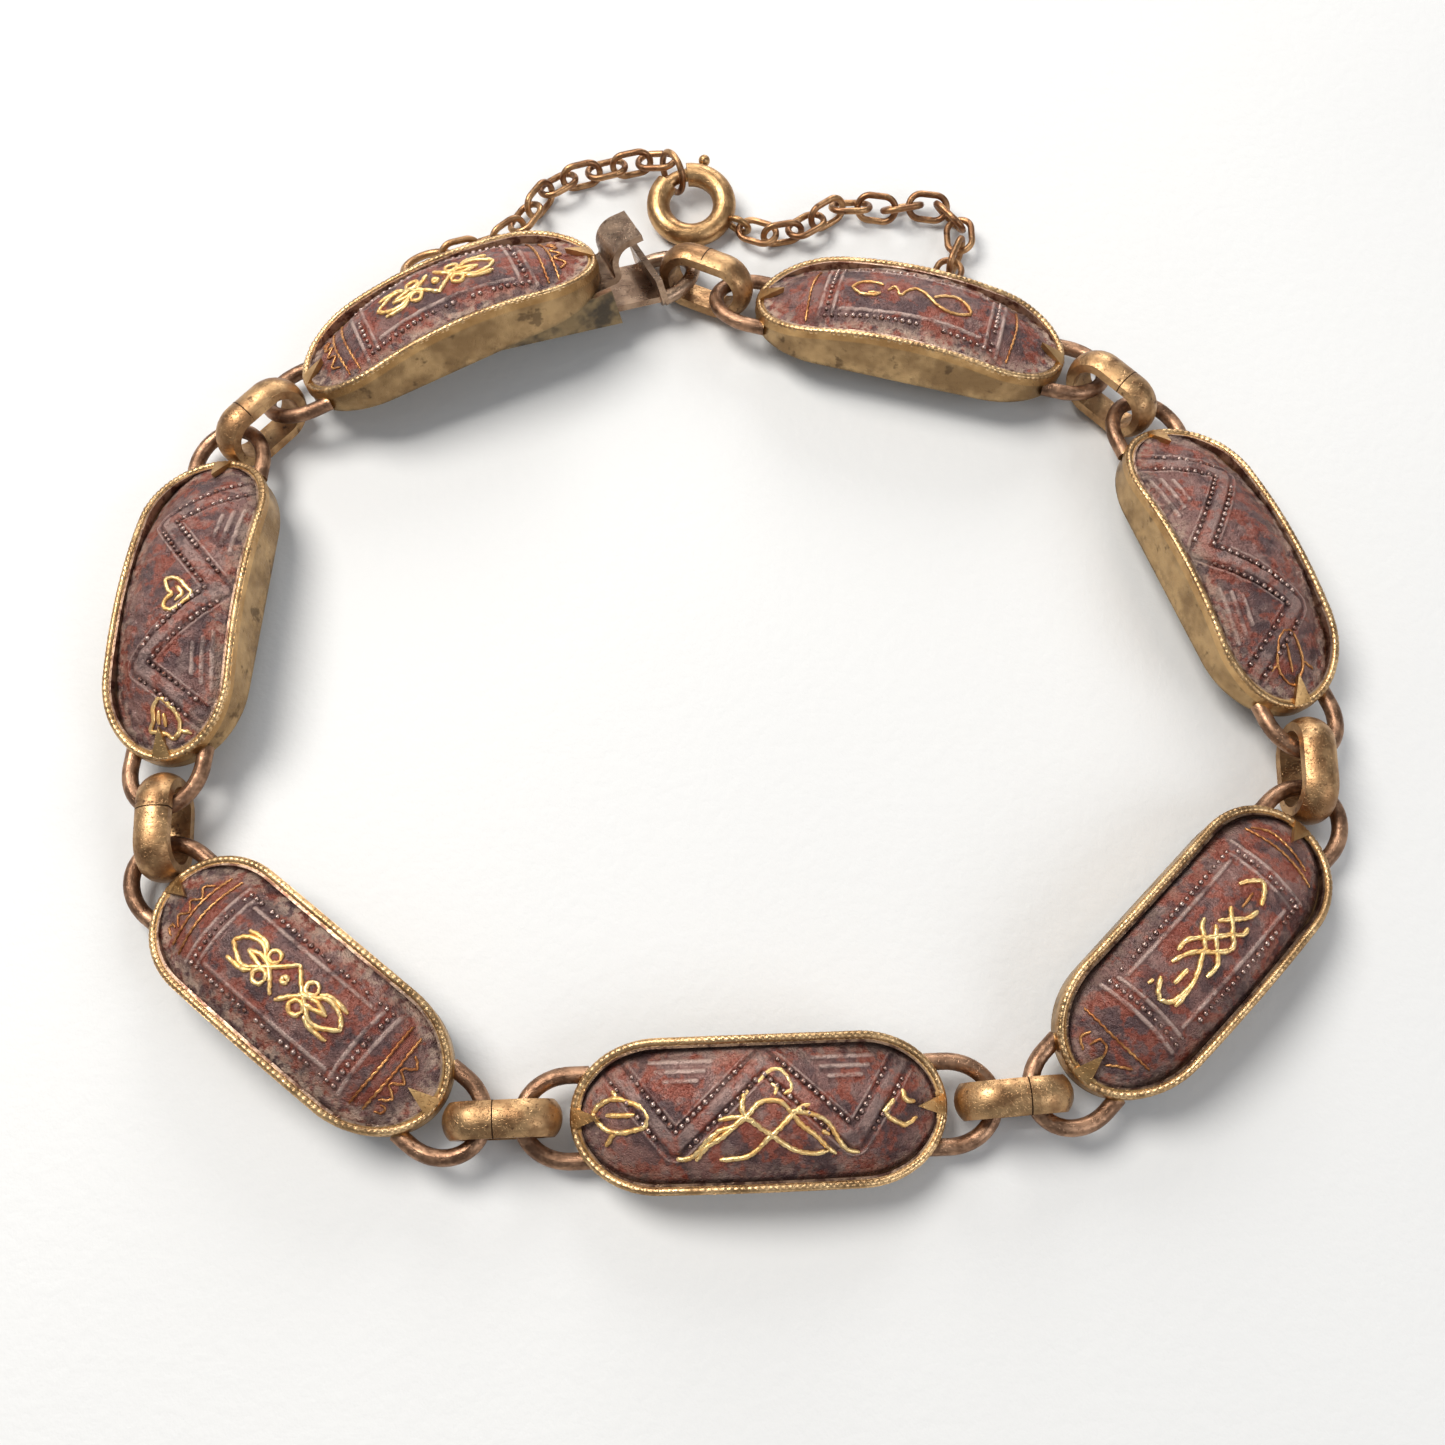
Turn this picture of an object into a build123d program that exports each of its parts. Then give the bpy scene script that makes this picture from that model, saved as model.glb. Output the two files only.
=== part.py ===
from build123d import *
import math
import os

os.makedirs("parts", exist_ok=True)

# A bracelet of seven oval brass trays that hold domed iron plaques inlaid with gold.
# Wire staples on the tray ends and oval links join them, a folded tongue in a pocket
# closes the loop, and a safety chain with a bolt ring bridges the clasp.
# Sizes are in millimetres and angles in degrees.

# Trays
panel_length = 19.5
panel_width = 7.8
panel_end_depth = 4.6
wall = 0.45
tray_floor = 0.5
wall_height_middle = 3.0
wall_height_end = 1.1
rim_height = 0.5
rim_proud = 0.1

# Iron plaques
plaque_gap = 0.12
plaque_floor_gap = 0.08
plaque_crown = 0.9
plaque_end_rise = 0.1
plaque_side_drop = 1.2
relief_height = 0.12
bead_diameter = 0.3
bead_pitch = 0.46
inlay_height = 0.1
inlay_gap = 0.02
inlay_width = 0.24
inlay_moat = 0.06

# Claws that hold each plaque at its ends
claw_length = 1.5
claw_width = 1.15
claw_thickness = 0.35
claw_gap = 0.05

# Wire staples soldered to the tray ends
staple_wire = 0.9
staple_foot = 0.1
staple_span = 5.25
staple_reach = 3.0

# Oval links of half-round band
link_length = 6.2
link_height = 4.2
link_width = 1.9
link_thickness = 0.9
link_edge = 0.5
link_seat = 0.8

# Pocket under the first tray
pocket_length = 8.6
pocket_width = 5.6
pocket_mouth_depth = 2.5
pocket_end_depth = 0.45
pocket_sheet = 0.35
pocket_setback = 0.15

# Folded tongue
tongue_sheet = 0.4
tongue_width = 4.4
tongue_gap = 0.1
tongue_reach_inside = 3.9
thumb_width = 3.3
thumb_offset = 0.9
thumb_height = 1.7
thumb_radius = 1.25
thumb_lip = 0.9
end_plate_width = 5.3
end_plate_height = 2.2
end_plate_drop = 0.35
end_plate_corner = 0.9

# Lugs and the standing ring of the safety chain
lug_wire = 0.5
lug_radius = 1.1
lug_height = 1.4
lug_offset_first = -0.4
lug_offset_last = -1.3
guard_ring_diameter = 3.9
guard_ring_wire = 0.5
guard_ring_lean = 26.0
guard_chain_angle = 195.0
guard_chain_roll = 62.0

# Safety chain
chain_wire = 0.42
chain_link_length = 2.9
chain_link_width = 2.0
chain_slack = 0.36
end_ring_diameter = 3.0
end_ring_tilt = 15.0
end_ring_pull = -12.0

# Bolt ring
bolt_ring_diameter = 5.8
bolt_ring_tube = 1.5
bolt_diameter = 0.84
bolt_clearance = 0.08
bolt_slot_width = 0.5
bolt_stem = 0.34
bolt_knob = 0.75
bolt_opening_start = 98.0
bolt_opening_end = 139.0
bolt_knob_angle = 76.0
bolt_seat = 7.0
bolt_travel = 46.0
bolt_tail = 30.0
eye_diameter = 1.8
eye_wire = 0.42
eye_angle = -24.0
bolt_ring_tilt = 10.0

floor_gap = 0.05
wire_slack = 0.1
lift_slack = 0.25

# Each tray's heading going round the loop with the wrist on its left, the outward lean
# of its face and the rise of its leading end. The first tray holds the clasp pocket.
# columns: heading, lean, tip
TRAY_POSES = [
    (206.0, 22.0, -5.5),
    (267.5, 11.5, 2.4),
    (322.0, 3.5, 1.5),
    (362.9, 10.5, 0.0),
    (406.4, 5.5, -1.4),
    (470.5, 12.0, -1.8),
    (526.5, 17.0, 0.0),
]
PATTERNS = ["knot", "heart", "knot", "bud", "lattice", "bough", "pair"]
# Headings of the links between neighbouring trays, and the outward lean of every link
LINK_HEADINGS = [228.0, 274.0, 364.0, 365.0, 448.0, 496.0]
LINK_LEANS = [17.0, 7.5, 6.0, 7.0, 8.0, 16.0, 21.0]
FRONT_TRAY = 3

# Centre of the bolt ring and route points of the two chain lengths, from the front
# tray's centre: x, y and height
BOLT_RING_CENTRE = (-4.6, 57.9)
LEFT_ROUTE = [
    (-18.5, 54.2, 1.1), (-16.9, 54.7, 1.0), (-15.6, 55.8, 1.0), (-15.0, 57.4, 1.0), (-14.5, 59.0, 1.0),
    (-13.3, 60.1, 1.0), (-11.6, 60.4, 1.0), (-10.0, 60.8, 1.0), (-8.5, 61.4, 1.1), (-7.2, 61.5, 1.35),
]
RIGHT_ROUTE = [(0.6, 55.7, 1.0), (2.1, 56.0, 1.05), (3.5, 57.0, 1.0), (4.9, 58.0, 1.0), (6.5, 58.1, 1.0),
               (8.1, 57.8, 1.0), (9.6, 58.2, 1.0), (11.3, 58.2, 1.0), (12.6, 57.3, 1.0), (13.0, 55.6, 1.0),
               (12.4, 54.0, 1.1)]

# Ornament is charted on squares of one ninety-second of the plaque's length and one
# thirty-fourth of its width, with the wrist side up
chart_columns = 92
chart_rows = 34

half_length = panel_length / 2
rim_width = wall + rim_proud
plaque_length = panel_length - 2 * (rim_width + plaque_gap)
plaque_width = panel_width - 2 * (rim_width + plaque_gap)
plaque_end_depth = panel_end_depth - rim_width - plaque_gap
plaque_top = wall_height_middle + plaque_crown
plaque_top_end = wall_height_end + plaque_end_rise
staple_rise = staple_foot + staple_wire / 2
link_pitch = link_length - link_thickness
pocket_mouth = -half_length + pocket_setback
square_x = plaque_length / chart_columns
square_y = plaque_width / chart_rows


def heading_vector(angle):
    return Vector(math.cos(math.radians(angle)), math.sin(math.radians(angle)), 0)


def arc_radius(half_chord, rise):
    return (half_chord**2 + rise**2) / (2 * rise)


def stadium(length, width, end_depth):
    """Oval outline with straight long sides and half-oval ends."""
    straight = length / 2 - end_depth
    half_width = width / 2
    outline = Curve() + [
        Line((-straight, -half_width), (straight, -half_width)),
        EllipticalCenterArc((straight, 0), end_depth, half_width, start_angle=-90, arc_size=180),
        Line((straight, half_width), (-straight, half_width)),
        EllipticalCenterArc((-straight, 0), end_depth, half_width, start_angle=90, arc_size=180),
    ]
    return make_face(outline)


def arched_block(drop):
    """Everything under the tray's arched top edge, lowered by drop."""
    radius = arc_radius(half_length, wall_height_middle - wall_height_end)
    disc = Pos(0, 0, wall_height_middle - radius) * (Plane.XZ * Circle(radius - drop))
    return extrude(disc, panel_width, both=True)


def dome(offset):
    """Everything under the plaque's domed top face, raised by offset."""
    long_radius = arc_radius(plaque_length / 2, plaque_top - plaque_top_end)
    cross_radius = arc_radius(plaque_width / 2, plaque_side_drop)
    edge = panel_width / 2 + rim_width
    edge_height = plaque_top - cross_radius + math.sqrt((cross_radius + offset) ** 2 - edge**2)
    low = plaque_top - 0.6 * long_radius
    outline = Curve() + [
        Polyline((-edge, edge_height), (-edge, low), (edge, low), (edge, edge_height)),
        ThreePointArc((edge, edge_height), (0, plaque_top + offset), (-edge, edge_height)),
    ]
    axle = Axis((0, 0, plaque_top - long_radius), (0, 1, 0))
    sweep_angle = 1.3 * math.degrees(math.asin(panel_length / 2 / long_radius))
    section = (Plane.YZ * make_face(outline)).rotate(axle, -sweep_angle)
    return revolve(section, axle, 2 * sweep_angle)


def column(sketch, top=None):
    """A flat outline raised well past the top of the plaque."""
    return extrude(sketch, top or 2 * plaque_top)


# Ornament, drawn flat above the plaque

def stroke(points, width):
    """A flat line of the given width through charted points, mitred at its corners."""
    path = [Vector(x * square_x, y * square_y) for x, y in points]
    closed = (path[0] - path[-1]).length < width / 100
    if closed:
        path.pop()
    left, right = [], []
    for i, point in enumerate(path):
        before = (point - path[i - 1]).normalized() if i or closed else (path[1] - point).normalized()
        after = (path[(i + 1) % len(path)] - point).normalized() if i + 1 < len(path) or closed else before
        along = (before + after).normalized()
        side = Vector(-along.Y, along.X) * (width / 2 / max(along.dot(after), 0.5))
        left.append(point + side)
        right.append(point - side)
    if closed:
        sides = [make_face(Polyline(*side, close=True)) for side in (left, right)]
        inside, outside = sorted(sides, key=lambda side: side.area)
        return outside - inside
    return make_face(Polyline(*left, *reversed(right), close=True))


def spot(x, y, diameter):
    return Pos(x * square_x, y * square_y) * Circle(diameter / 2)


def mirrored(lines):
    return lines + [[(-x, y) for x, y in line] for line in lines]


def turned(lines):
    return [[(-x, -y) for x, y in line] for line in lines]


def moved(lines, dx, dy=0):
    return [[(x + dx, y + dy) for x, y in line] for line in lines]


def hoop(x, y, radius, sides=8):
    angles = [2 * math.pi * i / sides for i in range(sides + 1)]
    return [(x + radius * math.cos(a), y + radius * math.sin(a)) for a in angles]


KNOT_HALF = [
    [(19.4, 0), (17.4, 2.6), (14.4, 4.0), (11.2, 4.0), (9, 2.4), (6, 0.5), (3.4, -1.8), (1, -4.8)],
    [(17.8, 4.6), (14.6, 5.2), (11.4, 5.0), (9.4, 3.6)],
    [(19.4, 0), (16.6, -1.8), (13.8, -3.2), (11.2, -3.2), (9.2, -1.6), (6, 0.8), (3, 3.4), (0, 6.4)],
    [(18, -4.4), (14.6, -4.5), (11.6, -4.2), (9.6, -3)],
    [(14.2, 0.6), (10.6, 1.2), (7.2, 0.8)],
]
KNOT_HOOPS = [(6.8, 3.7, 1.8), (6.6, -2.8, 2.0)]
LATTICE = [
    [(-21.8, -0.5), (-20, 1.6), (-17, 3.6)],
    [(-21.8, -0.5), (-20, -3), (-17, -3.8), (-12.8, -3.8), (-8.8, -2.4), (-5.4, -0.6), (-3.4, 0)],
    [(-12.2, 4), (-8.8, 2.9), (-6, 1.1), (-4, -1), (-2, -3.1), (0.7, -5.2), (2.7, -5.2), (4.7, -3.1), (6.8, -1.3),
     (8.8, 0.8), (10.6, 2.2)],
    [(-8.8, 5), (-5.4, 5), (-2.7, 3.2), (-0.7, 1.1), (2, -1), (4.7, -3.1), (6.8, -5.2), (9.2, -5.2)],
    [(-8.8, -5.5), (-4.7, -5.5), (-2.7, -3.8), (-0.7, -1.7), (1.4, 0.3), (3.4, 1.8)],
    [(-4, -0.4), (-1.4, 2.2), (0.7, 4.6), (3, 5.3)],
    [(4.7, 2.2), (6.8, 0.4), (8.8, -1.3), (11.5, -3.4), (15, -4.2)],
    [(-16, -0.3), (-10.8, -0.3)],
    [(12.8, -0.3), (18.4, -0.1)],
    [(17.6, 4.3), (21, 2.2), (23, -0.3), (21, -2.4), (17.3, -3.9)],
]
BUD = [
    [(-21.7, -11.2), (-18.3, -10.9), (-16.2, -9.5), (-13.9, -6.7), (-10.8, -4.2), (-7.5, -3.2), (-4, -1), (-0.7, 2.5),
     (2, 3.3), (5.2, 2.8), (7.5, 0.4), (10.2, -3.2), (13.6, -6), (16.9, -9.5), (18.9, -11.2)],
    [(-16.6, -11.6), (-14.2, -8.4), (-10.4, -6), (-7.4, -3.6), (-4, -1), (0, -3.8), (3.4, -6.3), (6.8, -8.8),
     (10.2, -10.4), (14.2, -10.9), (17, -10.2)],
    [(-10.8, -1.4), (-7.5, -0.7), (-4, -0.8)],
    [(-4, -1), (-4.7, 1.8), (-4, 4.9), (-2.8, 6)],
    [(-10.8, -11.6), (-4.7, -11.2), (-1.4, -9.5), (1.4, -6.7), (4.7, -3.8), (7.5, -1), (10.2, 1.1), (12.8, 2.1)],
    [(7.5, 0.4), (12.2, -0.4), (15.6, -1.7), (17.8, -4), (19.6, -7.4), (21.8, -10.2), (25, -11.2)],
    [(-0.4, 8), (2, 10.4), (5, 11.2), (7.4, 8.8), (8.1, 6), (6, 4.9)],
]
LEAF = [
    [(-8, 1), (-5.6, 3.8), (-2.2, 4.9), (1.9, 3.8), (4.6, 2.5), (6.3, 0), (5.2, -2.6), (0.5, -3.8), (-2.9, -3.8),
     (-5.6, -2.5), (-8, 1)],
    [(-4, 0.6), (2.4, 0.6)],
]
SMALL_LEAF = [
    [(-3.8, -1), (-3, 3.4), (-0.4, 2.4), (2.9, 2.2), (5.2, 0)],
    [(5.2, 0), (3.2, -2.8), (0.8, -5), (-2, -5.6), (-5, -3.8)],
    [(-1.4, -1.4), (1.6, -1.2)],
]
HEART = [
    [(-8.8, -1.6), (-7.6, 1), (-5.2, 0.4), (-4, -1.2), (-2.4, 0.5), (0.9, 1.8)],
    [(-8.8, -1.6), (-6.2, -4.9), (-3.6, -6.8), (-1.4, -4.6), (1, -1.7), (0.9, 1.8)],
]
SHIELD = [
    [(34.9, 2.2), (31.6, -1), (35.2, -3.8), (37.9, -4.6), (40.4, -2.8)],
    [(37.2, 4.8), (37.9, 1.9), (40.2, 1.4)],
]
PAIR = [
    [(-10.5, 1), (-13.6, 2.1), (-17.6, 1.8), (-20, -1), (-16.9, -3.8), (-12.8, -4.2), (-10.8, -3)],
    [(-8.8, -1.4), (-6.8, 0.7), (-4.7, -2.8), (-3, -0.4), (-0.7, 1.7), (1.5, 1), (3.4, -0.4), (6.4, -3.2), (8.5, -4)],
    [(5.5, -0.5), (8.8, 1.8), (12.2, 2.8), (15.6, 1), (17.6, -2.5), (14.2, -4.6), (10.2, -4.9)],
]
END_LINES = [[(31.5, -13), (32.5, 0), (31.5, 13)], [(35, -12), (36, 0), (35, 12)]]
ZIGZAG = [[(36.8 + 3 * (i % 2), 9 - 3 * i) for i in range(7)]]
BAND_PATH = [(-38, 13), (-22, -8), (1, 14), (24, -8), (38, 13)]
FIELD_RIDGES = [(14, -28, -12), (11.5, -26.5, -14), (9, -24.5, -16), (14, 14, 30), (11.5, 16, 28.5), (9, 18, 26.5)]
FRAME_COLUMN = 26
FRAME_ROW = 12


def inlay_lines(pattern):
    """Charted gold lines and spots of one plaque."""
    if pattern == "knot":
        hoops = [hoop(side * x, y, radius) for x, y, radius in KNOT_HOOPS for side in (-1, 1)]
        lines = mirrored(KNOT_HALF) + hoops + mirrored(END_LINES + ZIGZAG)
        return lines, [(0, 0.8, 4 * square_x)]
    if pattern == "lattice":
        return LATTICE + mirrored(END_LINES[:1]), []
    if pattern == "pair":
        return turned(PAIR) + mirrored(END_LINES[:1]), []
    if pattern == "bud":
        return BUD + moved(LEAF, -35) + SHIELD, []
    if pattern == "heart":
        return turned(HEART + moved(SMALL_LEAF, -38.4)), []
    return moved(LEAF, -35), []


def inlay_sketch(pattern, width):
    lines, spots = inlay_lines(pattern)
    sketch = Sketch() + [stroke(line, width) for line in lines]
    return sketch + [spot(x, y, diameter + width - inlay_width) for x, y, diameter in spots]


def row_of_beads(start, end):
    """Bead centres evenly spaced along a straight charted line."""
    length = math.hypot((end[0] - start[0]) * square_x, (end[1] - start[1]) * square_y)
    count = max(2, round(length / bead_pitch))
    shares = [i / count for i in range(count)]
    return [(start[0] + (end[0] - start[0]) * t, start[1] + (end[1] - start[1]) * t) for t in shares]


def beaded_frame():
    corners = [(-FRAME_COLUMN, -FRAME_ROW), (FRAME_COLUMN, -FRAME_ROW), (FRAME_COLUMN, FRAME_ROW),
               (-FRAME_COLUMN, FRAME_ROW)]
    beads = []
    for start, end in zip(corners, corners[1:] + corners[:1]):
        beads += row_of_beads(start, end)
    return beads


def beaded_bands():
    """Beads along both edges of the zigzag bands."""
    beads = []
    for (x0, y0), (x1, y1) in zip(BAND_PATH, BAND_PATH[1:]):
        length = math.hypot(x1 - x0, y1 - y0)
        along = ((x1 - x0) / length, (y1 - y0) / length)
        for side in (-2.6, 2.6):
            shift = (-along[1] * side, along[0] * side)
            start = (x0 + along[0] * 3 + shift[0], y0 + along[1] * 3 + shift[1])
            end = (x1 - along[0] * 3 + shift[0], y1 - along[1] * 3 + shift[1])
            beads += row_of_beads(start, end)
    return beads


def relief_sketch(pattern):
    """Raised beads and ridges."""
    ridge = bead_diameter / 2
    if pattern in ("knot", "lattice", "pair"):
        beads = beaded_frame()
        ridges = [[(x, -FRAME_ROW + 1), (x, FRAME_ROW - 1)] for x in (-FRAME_COLUMN + 2, FRAME_COLUMN - 2)]
        ridges += [[(-FRAME_COLUMN + 4, y), (FRAME_COLUMN - 4, y)] for y in (-FRAME_ROW + 2, FRAME_ROW - 2)]
    else:
        beads = beaded_bands()
        ridges = [[(x0, y), (x1, y)] for y, x0, x1 in FIELD_RIDGES]
    raised = Sketch() + [spot(x, y, bead_diameter) for x, y in beads]
    return raised + [stroke(line, ridge) for line in ridges]


def plaque(pattern):
    """Domed iron plaque with its raised relief."""
    outline = stadium(plaque_length, plaque_width, plaque_end_depth)
    inner = stadium(plaque_length - 2 * bead_diameter, plaque_width - 2 * bead_diameter,
                    plaque_end_depth - bead_diameter)
    foot = Pos(0, 0, tray_floor + plaque_floor_gap)
    body = foot * column(outline) & dome(0)
    moat = inlay_sketch(pattern, inlay_width + 2 * inlay_moat)
    raised = (relief_sketch(pattern) & inner) - moat
    return body + (foot * column(raised) & dome(relief_height))


def inlay(pattern):
    """Gold lines standing just proud of the plaque."""
    inner = stadium(plaque_length - 2 * inlay_width, plaque_width - 2 * inlay_width,
                    plaque_end_depth - inlay_width)
    lines = column(inlay_sketch(pattern, inlay_width) & inner)
    raised = (lines & dome(inlay_height)) - dome(inlay_gap)
    return Compound(children=[piece for piece in raised.solids() if piece.volume > inlay_width**3])


# Trays, staples, pocket and lugs

def staple(leg=None):
    """Half-oval wire loop whose legs run back into the tray's end wall, pointing along +X."""
    half_span = (staple_span - staple_wire) / 2
    reach = staple_reach - staple_wire / 2
    if leg is None:
        leg = panel_end_depth * (1 - math.sqrt(1 - (2 * half_span / panel_width) ** 2)) + wall / 2
    path = Curve() + [
        Line((-leg, -half_span), (0, -half_span)),
        EllipticalCenterArc((0, 0), reach, half_span, start_angle=-90, arc_size=180),
        Line((0, half_span), (-leg, half_span)),
    ]
    foot = Plane(origin=path @ 0, z_dir=path % 0)
    return sweep(foot * Circle(staple_wire / 2), path)


def inside_wall():
    """Outline of the tray's hollow."""
    return stadium(panel_length - 2 * rim_width, panel_width - 2 * rim_width, panel_end_depth - rim_width)


def claw():
    """Triangular claw folded from the rim over the plaque's +X end."""
    base = half_length - rim_width / 4
    triangle = make_face(Polyline((base, -claw_width / 2), (base, claw_width / 2),
                                  (base - claw_length, 0), close=True))
    hollow = inside_wall()
    block = Pos(0, 0, wall_height_end / 2) * column(triangle) & dome(claw_gap + claw_thickness)
    return block - (column(hollow) & dome(claw_gap))


def tray(has_leading_staple, has_trailing_staple):
    outer = stadium(panel_length, panel_width, panel_end_depth)
    shell = stadium(panel_length - 2 * rim_proud, panel_width - 2 * rim_proud, panel_end_depth - rim_proud)
    hollow = inside_wall()
    body = column(shell) & arched_block(0)
    rim = (column(outer) & arched_block(0)) - arched_block(rim_height)
    body = body + rim
    end_staple = Pos(half_length, 0, staple_rise) * staple()
    if has_leading_staple:
        body = body + end_staple
    if has_trailing_staple:
        body = body + Rot(0, 0, 180) * end_staple
    body = body - Pos(0, 0, tray_floor) * column(hollow)
    return body + claw() + Rot(0, 0, 180) * claw()


def pocket():
    """Wedge-shaped sheet pocket under the tray's trailing end, open towards -X."""
    mouth = pocket_mouth
    far = mouth + pocket_length
    wedge = make_face(Polyline((mouth, 0), (mouth, -pocket_mouth_depth), (far, -pocket_end_depth), (far, 0),
                               close=True))
    slope = (pocket_mouth_depth - pocket_end_depth) / pocket_length
    inner_far = far - pocket_sheet
    inner_end = pocket_end_depth + slope * pocket_sheet - pocket_sheet
    cavity = make_face(Polyline((mouth - pocket_sheet, 0),
                                (mouth - pocket_sheet, -pocket_mouth_depth + pocket_sheet - slope * pocket_sheet),
                                (inner_far, -inner_end), (inner_far, 0), close=True))
    shell = extrude(Plane.XZ * wedge, pocket_width / 2, both=True)
    return shell - extrude(Plane.XZ * cavity, pocket_width / 2 - pocket_sheet, both=True)


def lug(offset):
    """Half ring of wire standing out from the tray's outer long wall, in the plane across the tray."""
    ring = Pos(offset, -panel_width / 2 + rim_proud, lug_height) * Rot(0, 90, 0) * Torus(lug_radius, lug_wire / 2)
    return ring - Pos(0, 0, tray_floor) * column(inside_wall())


def oval_link():
    """Closed oval band with a half-round section, standing in the XZ plane."""
    inner_radius = link_height / 2 - link_thickness
    straight = (link_length - link_height) / 2
    half_band = link_width / 2
    path = Curve() + [
        Line((-straight, 0, -inner_radius), (straight, 0, -inner_radius)),
        ThreePointArc((straight, 0, -inner_radius), (straight + inner_radius, 0, 0), (straight, 0, inner_radius)),
        Line((straight, 0, inner_radius), (-straight, 0, inner_radius)),
        ThreePointArc((-straight, 0, inner_radius), (-straight - inner_radius, 0, 0),
                      (-straight, 0, -inner_radius)),
    ]
    outline = Curve() + [
        Polyline((-half_band, -link_edge), (-half_band, 0), (half_band, 0), (half_band, -link_edge)),
        ThreePointArc((half_band, -link_edge), (0, -link_thickness), (-half_band, -link_edge)),
    ]
    section = Plane(origin=(-straight, 0, -inner_radius), x_dir=(0, 1, 0), z_dir=(1, 0, 0)) * make_face(outline)
    return sweep(section, path)


# Where everything stands on the ground

def tray_rotation(index):
    heading, lean, tip = TRAY_POSES[index]
    return Rot(0, 0, heading) * Rot(0, -tip, 0) * Rot(lean, 0, 0)


def tray_lift(index):
    """Height of a tray's base centre, so that its lowest corner and its links clear the ground."""
    heading, lean, tip = TRAY_POSES[index]
    turned_tray = tray_rotation(index)
    straight = half_length - panel_end_depth
    corners = [(x, -panel_width / 2, 0) for x in (-straight, straight)]
    if index == 0:
        corners.append((pocket_mouth, -pocket_width / 2, -pocket_mouth_depth))
    edge_lift = floor_gap - min((turned_tray * Pos(*corner)).position.Z for corner in corners)
    fall = (half_length + staple_reach - staple_wire / 2) * math.sin(math.radians(abs(tip)))
    rise = staple_rise * math.cos(math.radians(lean))
    return max(edge_lift, floor_gap + link_thickness + lift_slack + staple_wire / 2 - rise + fall)


def arm(index, side):
    """Plan vector from a tray's centre to the link seat beyond one of its ends."""
    heading, lean, tip = TRAY_POSES[index]
    return heading_vector(heading) * (side * (half_length * math.cos(math.radians(tip)) + link_seat))


def walk():
    """Plan centres of the trays, laid link by link both ways from the front tray."""
    centres = {FRONT_TRAY: Vector(0, 0, 0)}
    for side in (1, -1):
        index = FRONT_TRAY
        while 0 <= index + side < len(TRAY_POSES):
            link = heading_vector(LINK_HEADINGS[min(index, index + side)]) * (side * link_pitch)
            centres[index + side] = centres[index] + arm(index, side) + link - arm(index + side, -side)
            index += side
    return centres


centres = walk()
tray_locations = [Pos(centres[i].X, centres[i].Y, tray_lift(i)) * tray_rotation(i) for i in range(len(TRAY_POSES))]


def seat(index, side):
    """Middle of the staple opening beyond one end of a tray."""
    return (tray_locations[index] * Pos(side * (half_length + link_seat), 0, staple_rise)).position


def link_location(start, end, lean):
    """Pose of a link resting on the ground between two seats, leaning out by the given angle."""
    middle = (start + end) * 0.5
    heading = math.degrees(math.atan2(end.Y - start.Y, end.X - start.X))
    crown = arc_radius(link_width / 2, link_thickness - link_edge)
    tilt = math.radians(lean)
    height = (link_height / 2 - crown) * math.cos(tilt) + crown + floor_gap
    outward = heading_vector(heading - 90) * (math.tan(tilt) * (height - middle.Z))
    return Pos(middle.X + outward.X, middle.Y + outward.Y, height) * Rot(0, 0, heading) * Rot(lean, 0, 0)


# Clasp tongue, drawn in the first tray's own frame

slope = math.atan2(pocket_mouth_depth - pocket_end_depth, pocket_length)


def leaf_height(x):
    """Height of the lower leaf's middle at a place along the tray."""
    return (x - pocket_mouth) * math.tan(slope) - pocket_mouth_depth + (
        pocket_sheet + tongue_gap + tongue_sheet / 2) / math.cos(slope)


def plate_distance():
    """How far the end plate stands beyond the pocket's mouth for its link to reach the last tray."""
    tray_one = tray_locations[0]
    target = seat(len(TRAY_POSES) - 1, 1)
    near, far = 0.0, panel_length / 2
    for step in range(40):
        middle = (near + far) / 2
        x = pocket_mouth - middle - tongue_sheet / 2 - link_seat
        reach = (tray_one * Pos(x, 0, leaf_height(x))).position
        plan_gap = math.hypot(reach.X - target.X, reach.Y - target.Y)
        near, far = (middle, far) if plan_gap > link_pitch else (near, middle)
    return near


plate_x = pocket_mouth - plate_distance()


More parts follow.
